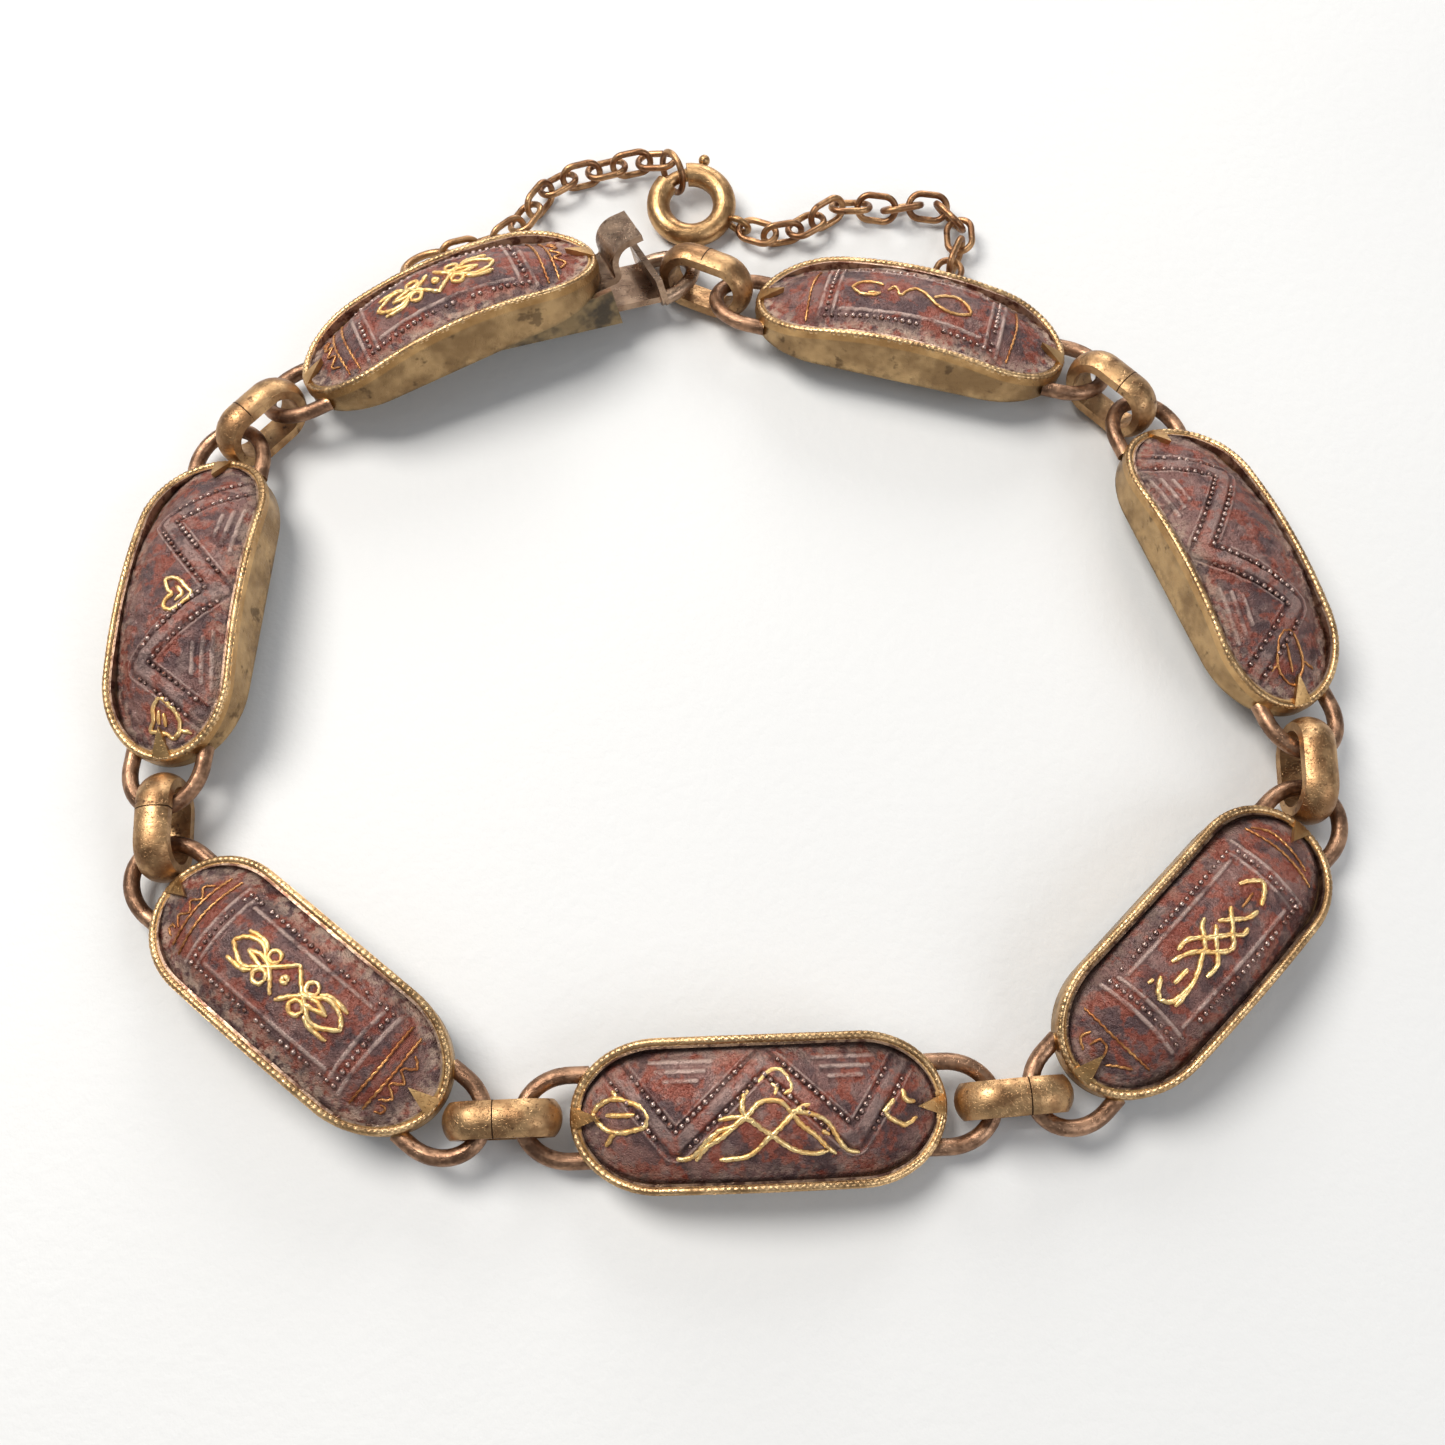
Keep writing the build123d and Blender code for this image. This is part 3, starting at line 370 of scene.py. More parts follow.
def tray_finish(index):
    """Satin brass tray with a bright rim, stained sides, darker pocket and copper-brown staples."""
    finish = Finish(f"tray brass {index + 1}")
    turned = TRAYS[index].to_3x3().to_euler("XYZ")
    corner = TRAYS[index].translation * MM
    place = finish.add("ShaderNodeMapping", {"Vector": finish.place, "Location": corner, "Rotation": turned,
                                             "Scale": (MM,) * 3}, vector_type="TEXTURE").outputs[0]
    zones = finish.group(ZONES, Place=place)
    seed = 2.3 * index
    cloud = finish.patches(0.35, 0.36, 0.64, seed)
    side = finish.mix(cloud, colour(190, 158, 114), colour(144, 116, 82))
    stains = finish.patches(0.8, 0.58, 0.68, seed + 1.0)
    side = finish.mix(finish.math("MULTIPLY", stains, 0.6), side, colour(92, 74, 58))
    foot = finish.math("MULTIPLY", finish.patches(1.6, 0.46, 0.62, seed + 5.0), 0.4)
    lower = finish.math("MULTIPLY", finish.ramp(zones["Side drop"], 1.4, 3.0), foot)
    side = finish.mix(lower, side, colour(98, 78, 60))
    under = finish.mix(finish.patches(0.5, 0.42, 0.62, seed + 2.0), colour(142, 122, 92), colour(84, 76, 66))
    base = finish.mix(zones["Under"], side, under)
    rim = finish.mix(cloud, colour(206, 168, 116), colour(168, 130, 84))
    filled = CRUST_FILL[index]
    crusted = finish.mix(finish.patches(1.5, 0.46, 0.62, seed + 7.0), colour(186, 158, 138),
                         colour(122, 88, 74))
    bare = finish.mix(finish.patches(1.5, 0.42, 0.58, seed + 7.0), colour(134, 106, 84), colour(74, 50, 42))
    ledge = finish.mix(filled, bare, crusted)
    rim = finish.mix(zones["Ledge"], rim, ledge)
    base = finish.mix(zones["Rim"], base, rim)
    copper = finish.mix(finish.patches(0.8, 0.38, 0.6, seed + 4.0), colour(176, 138, 110),
                        colour(122, 92, 72))
    base = finish.mix(zones["Staple"], base, copper)
    marks = finish.handling(0.14, 0.34, 0.52, seed)
    roughness = finish.math("ADD", marks["Roughness"], finish.math("MULTIPLY", stains, 0.15))
    return finish.finish(base, roughness, marks["Height"], 0.015)


def iron_finish(name, seed, darkness, filled):
    """Old iron: purple-brown with rust patches, grey on the raised work, darker in the hollows, pale crust by
    the rim and painted shade in the gap along the rim.
    """
    finish = Finish(name, metallic=0.3, roughness=0.5)
    relief = finish.add("ShaderNodeAttribute", attribute_name="relief").outputs["Fac"]
    edge = finish.add("ShaderNodeAttribute", attribute_name="edge").outputs["Fac"]
    tone = finish.patches(0.4, 0.35, 0.62, seed)
    base = finish.mix(tone, colour(136, 98, 90), colour(84, 60, 60))
    rust = finish.patches(0.75, 0.47, 0.56, seed + 2.0)
    speck = finish.patches(3.0, 0.44, 0.62, seed + 6.0)
    rust = finish.math("MULTIPLY", rust, finish.math("ADD", 0.45, finish.math("MULTIPLY", speck, 0.55)))
    base = finish.mix(rust, base, finish.mix(speck, colour(172, 80, 48), colour(122, 54, 38)))
    grey = finish.math("MULTIPLY", finish.ramp(relief, 0.25, 0.9),
                       finish.math("SUBTRACT", 1.0, finish.math("MULTIPLY", rust, 0.7)))
    base = finish.mix(finish.math("MULTIPLY", grey, 0.8), base, colour(200, 172, 160))
    haze = finish.math("MULTIPLY", finish.patches(0.9, 0.52, 0.68, seed + 9.0), 0.4)
    base = finish.mix(haze, base, colour(166, 138, 128))
    crust_noise = finish.patches(1.8, 0.40, 0.58, seed + 4.0)
    crust = finish.math("MULTIPLY", finish.ramp(edge, 1.3, 0.1), crust_noise)
    base = finish.mix(finish.math("MULTIPLY", crust, 0.25 + 0.6 * filled), base, colour(196, 170, 150))
    # Painted shade: the gap between the plaque and the rim, darkened along the plaque's edge and strongest
    # where little crust fills it
    seam = finish.math("MULTIPLY", finish.ramp(edge, 0.34, 0.16),
                       finish.math("SUBTRACT", 1.0, finish.math("MULTIPLY", crust_noise, 0.9 * filled)))
    base = finish.mix(finish.math("MULTIPLY", seam, 0.9 - 0.5 * filled), base, colour(50, 32, 28))
    # Darker in the hollows of the relief
    hollow = finish.ramp(relief, -0.05, -0.3)
    base = finish.mix(finish.math("MULTIPLY", hollow, 0.6), base, colour(58, 38, 36))
    deep = finish.math("MULTIPLY", finish.patches(0.6, 0.54, 0.64, seed + 15.0), 0.65)
    base = finish.mix(deep, base, colour(66, 46, 48))
    base = finish.mix(darkness, base, colour(60, 42, 40))
    marks = finish.handling(0.10, 0.32, 0.54, seed)
    roughness = finish.math("ADD", marks["Roughness"], finish.math("MULTIPLY", crust, 0.25), clamp=True)
    lumps = finish.noise(finish.millimetres, 5.0, 3.0, 0.7)
    height = finish.math("ADD", finish.math("MULTIPLY", marks["Height"], 0.5),
                         finish.math("MULTIPLY", lumps, 1.4))
    return finish.finish(base, roughness, height, 0.08)


def gold_finish():
    """Warm gold on the main lines and thin coppery gold on the end lines."""
    finish = Finish("inlaid gold", metallic=0.85)
    copper = finish.add("ShaderNodeAttribute", attribute_name="copper").outputs["Fac"]
    cloud = finish.patches(0.9, 0.40, 0.62, 11.0)
    base = finish.mix(cloud, colour(255, 222, 158), colour(240, 192, 120))
    worn = finish.math("MULTIPLY", finish.patches(1.9, 0.60, 0.70, 14.0), 0.7)
    base = finish.mix(worn, base, colour(150, 96, 56))
    base = finish.mix(copper, base, finish.mix(cloud, colour(214, 156, 98), colour(158, 100, 60)))
    marks = finish.handling(0.09, 0.30, 0.48, 11.0)
    return finish.finish(base, marks["Roughness"], marks["Height"], 0.02)


GOLD = gold_finish()
MILLED = worn_metal("milled brass edge", colour(220, 184, 136), colour(170, 136, 96), colour(104, 78, 58),
                    0.62, 0.28, 0.46, 4.0, pit=0.10)
LINK = worn_metal("link brass", colour(196, 158, 114), colour(148, 112, 78), colour(92, 66, 50), 0.60,
                  0.34, 0.54, 7.0, pit=0.14, distance=0.02)
CHAIN = worn_metal("chain brass", colour(188, 146, 104), colour(142, 102, 72), colour(86, 60, 46), 0.60,
                   0.30, 0.48, 9.0)
RING = worn_metal("bolt ring brass", colour(204, 164, 116), colour(160, 122, 82), colour(94, 68, 48), 0.63,
                  0.28, 0.46, 13.0)
TONGUE = worn_metal("tongue brass", colour(176, 148, 124), colour(134, 108, 88), colour(84, 66, 54), 0.60,
                    0.26, 0.44, 17.0)
SEAM = worn_metal("dark seam", colour(70, 48, 32), colour(50, 34, 24), colour(36, 26, 20), 0.60, 0.5, 0.7,
                  19.0)

# Ornament, charted on squares of one ninety-second of a plaque's length, wrist side up

SQUARE_X = PLAQUE_LENGTH / 92
SQUARE_Y = PLAQUE_WIDTH / 34
KNOT_HALF = [
    [(19.4, 0), (17.4, 2.6), (14.4, 4.0), (11.2, 4.0), (9, 2.4), (6, 0.5), (3.4, -1.8), (1, -4.8)],
    [(17.8, 4.6), (14.6, 5.2), (11.4, 5.0), (9.4, 3.6)],
    [(19.4, 0), (16.6, -1.8), (13.8, -3.2), (11.2, -3.2), (9.2, -1.6), (6, 0.8), (3, 3.4), (0, 6.4)],
    [(18, -4.4), (14.6, -4.5), (11.6, -4.2), (9.6, -3)],
    [(14.2, 0.6), (10.6, 1.7), (7.2, 1.3), (5, 0.4)],
    [(14.2, 0.6), (10.4, -0.2), (7.2, -0.9)],
]
KNOT_HOOPS = [(6.8, 3.7, 1.8), (6.6, -2.8, 2.0)]
LATTICE = [
    [(-21.8, -0.5), (-20, 1.6), (-17, 3.6)],
    [(-20.4, 4.7), (-19, 4.4)],
    [(-21.8, -0.5), (-20, -3), (-17, -3.8), (-12.8, -3.8), (-8.8, -2.4), (-5.4, -0.6), (-3.4, 0)],
    [(-20, -4.6), (-14.2, -4.3)],
    [(-12.2, 4), (-8.8, 2.9), (-6, 1.1), (-4, -1), (-2, -3.1), (0.7, -5.2), (2.7, -5.2), (4.7, -3.1),
     (6.8, -1.3), (8.8, 0.8), (10.6, 2.2)],
    [(-8.8, 5), (-5.4, 5), (-2.7, 3.2), (-0.7, 1.1), (2, -1), (4.7, -3.1), (6.8, -5.2), (9.2, -5.2)],
    [(-8.8, -5.5), (-4.7, -5.5), (-2.7, -3.8), (-0.7, -1.7), (1.4, 0.3), (3.4, 1.8)],
    [(-4, -0.4), (-1.4, 2.2), (0.7, 4.6), (3, 5.3)],
    [(4.7, 2.2), (6.8, 0.4), (8.8, -1.3), (11.5, -3.4), (15, -4.2)],
    [(-16, -0.3), (-10.8, -0.3)],
    [(17.6, 4.3), (21, 2.2), (23, -0.3), (21, -2.4), (17.3, -3.9)],
]
LATTICE_END = [
    [(12.8, -0.3), (18.4, -0.1)],
    [(-43, 4.5), (-41, 7.4), (-38.5, 6.4)],
    [(-41.5, -0.5), (-39, 0.6), (-38.6, 3.4), (-41, 4.2)],
    [(-42, -2.5), (-39.5, -6), (-38, -8.4)],
    [(36.5, 11), (39.4, 6), (39, -1), (37.6, -8)],
]
BUD = [
    [(-21.7, -11.2), (-18.3, -10.9), (-16.2, -9.5), (-13.9, -6.7), (-10.8, -4.2), (-7.5, -3.2), (-4, -1),
     (-0.7, 2.5), (2, 3.3), (5.2, 2.8), (7.5, 0.4), (10.2, -3.2), (13.6, -6), (16.9, -9.5), (18.9, -11.2)],
    [(-16.6, -11.6), (-14.2, -8.4), (-10.4, -6), (-7.4, -3.6), (-4, -1), (0, -3.8), (3.4, -6.3), (6.8, -8.8),
     (10.2, -10.4), (14.2, -10.9), (17, -10.2)],
    [(-10.8, -1.4), (-7.5, -0.7), (-4, -0.8)],
    [(-4, -1), (-4.7, 1.8), (-4, 4.9), (-2.8, 6)],
    [(-10.8, -11.6), (-4.7, -11.2), (-1.4, -9.5), (1.4, -6.7), (4.7, -3.8), (7.5, -1), (10.2, 1.1),
     (12.8, 2.1)],
    [(7.5, 0.4), (12.2, -0.4), (15.6, -1.7), (17.8, -4), (19.6, -7.4), (21.8, -10.2), (25, -11.2)],
    [(15.4, -4.9), (17.4, -6.2)],
    [(-0.4, 8), (2, 10.4), (5, 11.2), (7.4, 8.8), (8.1, 6), (6, 4.9)],
    [(3, 7.6), (4.4, 6.4), (3.6, 4.8)],
]
LEAF = [
    [(-8, 1), (-5.6, 3.8), (-2.2, 4.9), (1.9, 3.8), (4.6, 2.5), (6.3, 0), (5.2, -2.6), (0.5, -3.8),
     (-2.9, -3.8), (-5.6, -2.5), (-8, 1)],
    [(-4.6, 0.6), (2.9, 0.6)],
    [(-2.9, 6.9), (-1.6, 4.8)],
    [(-4.8, -7.4), (-2.6, -4)],
]
SMALL_LEAF = [
    [(-3, 3.4), (-0.4, 2.4), (2.9, 2.2), (5.2, 0), (3.2, -2.8), (0.8, -5), (-2, -5.6), (-5, -3.8), (-3.8, -1),
     (-3, 3.4)],
    [(-2, -1.4), (1.4, -1)],
    [(-1.4, 0.7), (1.8, 0.6)],
    [(-3.4, -8.6), (-2.8, -5.6)],
]
HEART = [
    [(-8.8, -1.6), (-7.6, 1), (-5.2, 0.4), (-4, -1.2), (-2.4, 0.5), (0.9, 1.8), (1, -1.7), (-1.4, -4.6),
     (-3.6, -6.8), (-6.2, -4.9), (-8.8, -1.6)],
    [(-5.8, -2.4), (-3.8, -4.2), (-1.6, -2)],
]
SHIELD = [
    [(31.6, -1), (34.9, 2.2)],
    [(37.2, 4.8), (37.9, 1.9), (40.4, 1.4)],
    [(31.6, -1), (35.2, -3.8), (37.9, -4.6), (40.6, -2.8)],
]
PAIR = [
    [(-20, -1), (-17.6, 1.8), (-13.6, 2.1), (-10.5, 1)],
    [(-20, -1), (-16.9, -3.8), (-12.8, -4.2), (-10.8, -3)],
    [(-14.6, -3.2), (-11.6, -3)],
    [(-8.8, -1.4), (-6.8, 0.7), (-4.7, -2.8), (-3, -0.4), (-0.7, 1.7), (1.5, 1), (3.4, -0.4), (6.4, -3.2),
     (8.5, -4)],
    [(5.5, -0.5), (8.8, 1.8), (12.2, 2.8), (15.6, 1), (17.6, -2.5), (14.2, -4.6), (10.2, -4.9), (7, -3.6)],
]
END_LINES = [[(31.5, -13), (32.5, 0), (31.5, 13)], [(35, -12), (36, 0), (35, 12)]]
ZIGZAG = [[(36.8 + 2.6 * (i % 2), 7.5 - 2.5 * i) for i in range(7)],
          [(37.4, -10.6), (39.4, -9.6), (39.2, -7.8), (37.8, -8.2)]]
BAND_PATH = [(-38, 13), (-22, -8), (1, 14), (24, -8), (38, 13)]
BAND_HALF = 2.6
FIELD_RIDGES = [(14, -28, -12), (11.5, -26.5, -14), (9, -24.5, -16),
                (14, 14, 30), (11.5, 16, 28.5), (9, 18, 26.5)]
FRAME_COLUMN, FRAME_ROW = 26, 12
BEAD_DIAMETER, BEAD_PITCH, BEAD_LIFT, BEADS_LOST = 0.35, 0.43, 0.03, 0.12
BEAD_MARGIN, SMALLEST_BEAD = 0.3, 0.62
WIRE, FINE_WIRE_SHARE = 0.29, 0.55


def mirrored(lines):
    return lines + [[(-x, y) for x, y in line] for line in lines]


def turned_round(lines):
    return [[(-x, -y) for x, y in line] for line in lines]


def moved(lines, dx):
    return [[(x + dx, y) for x, y in line] for line in lines]


def hoop(x, y, radius, sides=8):
    angles = [2 * math.pi * i / sides for i in range(sides + 1)]
    return [(x + radius * math.cos(a), y + radius * math.sin(a)) for a in angles]


def gold_lines(pattern):
    """The main lines of a pattern, and its thin coppery end lines."""
    if pattern == "knot":
        hoops = [hoop(side * x, y, radius) for x, y, radius in KNOT_HOOPS for side in (-1, 1)]
        return mirrored(KNOT_HALF) + hoops + [hoop(-0.4, 0.8, 0.9)], mirrored(END_LINES + ZIGZAG)
    if pattern == "lattice":
        return LATTICE, mirrored(END_LINES[1:]) + LATTICE_END
    if pattern == "pair":
        return turned_round(PAIR), mirrored(END_LINES[:1])
    if pattern == "bud":
        return BUD + moved(LEAF, -35) + SHIELD, []
    if pattern == "heart":
        return turned_round(HEART + moved(SMALL_LEAF, -38.4)), []
    return [], moved(LEAF, -35)


def millimetres(line):
    return [(x * SQUARE_X, y * SQUARE_Y) for x, y in line]


def row_of_beads(start, end):
    length = math.hypot((end[0] - start[0]) * SQUARE_X, (end[1] - start[1]) * SQUARE_Y)
    count = max(2, round(length / BEAD_PITCH))
    shares = [i / count for i in range(count)]
    return [(start[0] + (end[0] - start[0]) * t, start[1] + (end[1] - start[1]) * t) for t in shares]


def bead_rows(pattern):
    beads = []
    if pattern in ("knot", "lattice", "pair"):
        corners = [(-FRAME_COLUMN, -FRAME_ROW), (FRAME_COLUMN, -FRAME_ROW), (FRAME_COLUMN, FRAME_ROW),
                   (-FRAME_COLUMN, FRAME_ROW)]
        for start, end in zip(corners, corners[1:] + corners[:1]):
            beads += row_of_beads(start, end)
        return beads
    for (x0, y0), (x1, y1) in zip(BAND_PATH, BAND_PATH[1:]):
        length = math.hypot(x1 - x0, y1 - y0)
        along = ((x1 - x0) / length, (y1 - y0) / length)
        for side in (-BAND_HALF, BAND_HALF):
            shift = (-along[1] * side, along[0] * side)
            start = (x0 + along[0] * 3 + shift[0], y0 + along[1] * 3 + shift[1])
            end = (x1 - along[0] * 3 + shift[0], y1 - along[1] * 3 + shift[1])
            beads += row_of_beads(start, end)
    return beads


def ridge_lines(pattern):
    """Thin raised ridges and, on the zigzag plaques, the flat bands between the bead rows."""
    if pattern in ("knot", "lattice", "pair"):
        ridges = [[(x, -FRAME_ROW + 1), (x, FRAME_ROW - 1)] for x in (-FRAME_COLUMN + 2, FRAME_COLUMN - 2)]
        ridges += [[(-FRAME_COLUMN + 4, y), (FRAME_COLUMN - 4, y)] for y in (-FRAME_ROW + 2, FRAME_ROW - 2)]
        ridges += [[(x, -FRAME_ROW - 1), (x, FRAME_ROW + 1)] for x in (-FRAME_COLUMN - 2, FRAME_COLUMN + 2)]
        return ridges, []
    return [[(x0, y), (x1, y)] for y, x0, x1 in FIELD_RIDGES], [BAND_PATH]


# Further than anything on a plaque, in millimetres
FAR = 99.0


def distance_to(lines, x, y):
    """Distance from each point to the nearest charted line, in millimetres."""
    nearest = np.full(x.shape, FAR)
    for line in lines:
        path = millimetres(line)
        for (ax, ay), (bx, by) in zip(path, path[1:]):
            dx, dy = bx - ax, by - ay
            share = np.clip(((x - ax) * dx + (y - ay) * dy) / max(dx * dx + dy * dy, 1e-9), 0, 1)
            nearest = np.minimum(nearest, np.hypot(x - ax - share * dx, y - ay - share * dy))
    return nearest


def bump_profile(distance, half_width):
    """A rounded ridge, one at its middle and nought past its half width."""
    t = np.clip(1 - distance / half_width, 0, 1)
    return t * t * (3 - 2 * t)


def smooth_noise(x, y, scale, seed, octaves=3):
    """Repeatable value noise on the plaque's plan, about -1 to 1."""
    total, weight = np.zeros(x.shape), 0.0
    for octave in range(octaves):
        cells = np.random.RandomState(seed + octave).uniform(-1, 1, (256, 256))
        u, v = x * scale * 2 ** octave + 90, y * scale * 2 ** octave + 90
        i, j = np.floor(u).astype(int), np.floor(v).astype(int)
        fu, fv = u - i, v - j
        fu, fv = fu * fu * (3 - 2 * fu), fv * fv * (3 - 2 * fv)
        i, j, i1, j1 = i % 256, j % 256, (i + 1) % 256, (j + 1) % 256
        row = cells[i, j] * (1 - fu) + cells[i1, j] * fu
        next_row = cells[i, j1] * (1 - fu) + cells[i1, j1] * fu
        total += (row * (1 - fv) + next_row * fv) / 2 ** octave
        weight += 1 / 2 ** octave
    return total / weight


# Height of the raised work and of the old surface's unevenness, in millimetres
RIDGE_RISE, RIDGE_HALF = 0.17, 0.22
BAND_RISE, BAND_STRIP, BAND_SLOPE = 0.13, 0.33, 0.12
BAND_EDGE, BAND_EDGE_RISE, BAND_EDGE_HALF = 0.74, 0.10, 0.15
BEAD_GROOVE, BEAD_GROOVE_HALF = 0.05, 0.2
GOLD_GROOVE, GOLD_GROOVE_HALF = 0.03, 0.3
CRUST_RISE, CRUST_REACH = 0.16, 0.9
# Height and reach of the crust that fills the step up to the rim
FILL_RISE, FILL_REACH = 0.26, 1.0
PITTED = 0.045
PIT_DEPTH, PIT_FROM = 0.12, 0.45
# How far from the outline the relief and the unevenness reach their full height
RELIEF_FADE, ROUGH_FADE = 0.5, 0.3
# How much of each plaque is eaten into lumps, and the height of the lumps
EATEN, EATEN_DEPTH = [-0.1, 0.25, -0.15, -0.3, -0.2, 0.3, 0.05], 0.11

# The skin's own outline, a little wider than the plaque, so that the crust meets the rim
SKIN_SPREAD = 0.17
SKIN_LENGTH, SKIN_WIDTH = PLAQUE_LENGTH + 2 * SKIN_SPREAD, PLAQUE_WIDTH + 2 * SKIN_SPREAD
SKIN_END = PLAQUE_END + SKIN_SPREAD
SKIN_COLUMNS, SKIN_END_COLUMNS, SKIN_ROWS = 150, 60, 90
# Keeps the last columns just off the points of the oval
END_SHY = 0.9995


def plaque_face(index):
    """The domed iron plaque as one closed skin with its relief, crust and pitting in the shape."""
    pattern = PATTERNS[index]
    straight = SKIN_LENGTH / 2 - SKIN_END
    columns = [-straight + 2 * straight * i / SKIN_COLUMNS for i in range(SKIN_COLUMNS + 1)]
    ends = [math.sin(math.pi / 2 * i / SKIN_END_COLUMNS) for i in range(1, SKIN_END_COLUMNS + 1)]
    left_end = [-straight - SKIN_END * e for e in reversed(ends)]
    right_end = [straight + SKIN_END * e for e in ends]
    columns = [x * END_SHY for x in left_end + columns + right_end]
    rows = SKIN_ROWS
    grid_x = np.array([[x] * (rows + 1) for x in columns])
    widths = np.array([half_width_at(x, SKIN_LENGTH, SKIN_WIDTH, SKIN_END) for x in columns])
    grid_y = widths[:, None] * np.linspace(-1, 1, rows + 1)[None, :]
    x, y = grid_x.ravel(), grid_y.ravel()
    outline = np.array(oval_points(SKIN_LENGTH, SKIN_WIDTH, SKIN_END, 0.15))
    edge = np.full(x.shape, FAR)
    for ox, oy in outline:
        edge = np.minimum(edge, np.hypot(x - ox, y - oy))
    inside = np.clip(edge / RELIEF_FADE, 0, 1)
    ridges, bands = ridge_lines(pattern)
    ridge = bump_profile(distance_to(ridges, x, y), RIDGE_HALF) * inside
    height = ridge * RIDGE_RISE
    relief = ridge.copy()
    if bands:
        away = distance_to(bands, x, y)
        flat = np.clip((BAND_STRIP - away) / BAND_SLOPE + 0.5, 0, 1) * inside
        beside = bump_profile(np.abs(away - BAND_EDGE), BAND_EDGE_HALF) * inside
        groove = bump_profile(np.abs(away - BAND_HALF * SQUARE_X), BEAD_GROOVE_HALF) * inside
        height += flat * BAND_RISE + beside * BAND_EDGE_RISE - groove * BEAD_GROOVE
        relief = np.maximum(relief, np.maximum(flat * 0.5, beside * 0.7)) - groove * 0.5
    worn = smooth_noise(x, y, 0.35, 40 + index, 2)
    height *= np.clip(0.85 + 0.6 * worn, 0.25, 1.2)
    beads = np.array(millimetres(bead_rows(pattern)))
    gold = distance_to(sum(gold_lines(pattern), []), x, y)
    height -= bump_profile(gold, GOLD_GROOVE_HALF) * GOLD_GROOVE
    near_gold = np.clip((gold - 0.15) / 0.25, 0, 1)
    crust_patches = np.clip(smooth_noise(x, y, 1.3, 7 * index + 3) + 0.4, 0, 1)
    crust = np.clip(1 - edge / CRUST_REACH, 0, 1) * crust_patches
    fill = np.clip(1 - edge / FILL_REACH, 0, 1) ** 2 * CRUST_FILL[index]
    height += crust * CRUST_RISE * (0.4 + 0.6 * CRUST_FILL[index]) + fill * FILL_RISE
    uneven = smooth_noise(x, y, 2.2, 11 * index + 1) * PITTED * np.clip(edge / ROUGH_FADE, 0.2, 1)
    height += uneven * (0.4 + 0.6 * near_gold)
    rough = np.clip(edge / ROUGH_FADE, 0, 1)
    pits = np.clip(smooth_noise(x, y, 3.1, 13 * index + 2, 2) - PIT_FROM, 0, 1)
    height -= pits * PIT_DEPTH * rough * near_gold
    eaten = np.clip((smooth_noise(x, y, 0.45, 17 * index + 4, 2) + EATEN[index]) * 3, 0, 1)
    height += smooth_noise(x, y, 3.6, 19 * index + 5, 2) * EATEN_DEPTH * eaten * near_gold * rough
    z = dome_height(x, y) + height
    points = list(zip(x, y, z))
    count = rows + 1
    faces = []
    for i in range(len(columns) - 1):
        for j in range(rows):
            a = i * count + j
            faces.append((a, a + count, a + count + 1, a + 1))
    last = (len(columns) - 1) * count
    loop = [i * count for i in range(len(columns))] + [last + j for j in range(1, count)]
    loop += [i * count + rows for i in range(len(columns) - 2, -1, -1)] + [j for j in range(rows - 1, 0, -1)]
    start = len(points)
    points += [(x[k], y[k], PLAQUE_FOOT) for k in loop]
    for k in range(len(loop)):
        n = (k + 1) % len(loop)
        faces.append((loop[n], loop[k], start + k, start + n))
    faces.append(tuple(start + k for k in reversed(range(len(loop)))))
    mesh = new_mesh(f"iron_face_{index + 1}", points, faces, place=TRAYS[index])
    set_floats(mesh, "relief", list(relief) + [0.0] * len(loop))
    set_floats(mesh, "edge", list(edge) + [0.0] * len(loop))
    face = new_piece(mesh.name, mesh)
    mesh.materials.append(IRON[index])
    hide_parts(f"plaque_{index + 1}")
    return beads


# Repeated and swept parts, made with Geometry Nodes

def swept_wire_tree():
    """A round wire along a line, notched every few points and a little uneven, as if milled or hammered."""
    nodes, given, out = new_group(
        "Swept wire", "GeometryNodeTree",
        [("Line", GEOMETRY, None), ("Radius", FLOAT, 0.1 * MM), ("Step", FLOAT, 0.1 * MM),
         ("Notch depth", FLOAT, 0.0), ("Notch every", "NodeSocketInt", 4), ("Unevenness", FLOAT, 0.1),
         ("Seed", FLOAT, 0.0), ("Sides", "NodeSocketInt", 8), ("Material", "NodeSocketMaterial", None)],
        [("Wire", GEOMETRY)])
    curve = nodes.add("GeometryNodeMeshToCurve", {0: given["Line"]})
    fine = nodes.add("GeometryNodeResampleCurve", {"Curve": curve.outputs[0], "Length": given["Step"]},
                     mode="LENGTH")
    width = nodes.add("GeometryNodeInputNamedAttribute", {"Name": "width"}, data_type="FLOAT").outputs[0]
    place = nodes.add("GeometryNodeInputPosition").outputs[0]
    rough = nodes.add("ShaderNodeTexNoise", {"Vector": place, "W": given["Seed"], "Scale": 2200.0,
                                             "Detail": 2.0}, noise_dimensions="4D").outputs[0]
    uneven = nodes.math("MULTIPLY", nodes.math("SUBTRACT", rough, 0.5), given["Unevenness"])
    step = nodes.math("MODULO", nodes.add("GeometryNodeInputIndex").outputs[0], given["Notch every"])
    notched = nodes.math("MULTIPLY", nodes.math("LESS_THAN", step, 0.5), given["Notch depth"])
    share = nodes.math("ADD", nodes.math("SUBTRACT", 1.0, notched), nodes.math("MULTIPLY", uneven, 2.0))
    radius = nodes.math("MULTIPLY", nodes.math("MULTIPLY", width, given["Radius"]), share)
    circle = nodes.add("GeometryNodeCurvePrimitiveCircle", {"Resolution": given["Sides"], "Radius": 1.0})
    wire = nodes.add("GeometryNodeCurveToMesh", {"Curve": fine.outputs[0], "Profile Curve": circle.outputs[0],
                                                 "Scale": radius, "Fill Caps": True})
    plain = nodes.add("GeometryNodeRealizeInstances", {"Geometry": wire.outputs[0]})
    coated = nodes.add("GeometryNodeSetMaterial", {"Geometry": plain.outputs[0],
                                                   "Material": given["Material"]})
    nodes.feed(coated.outputs[0], out["Wire"])
    return nodes.tree


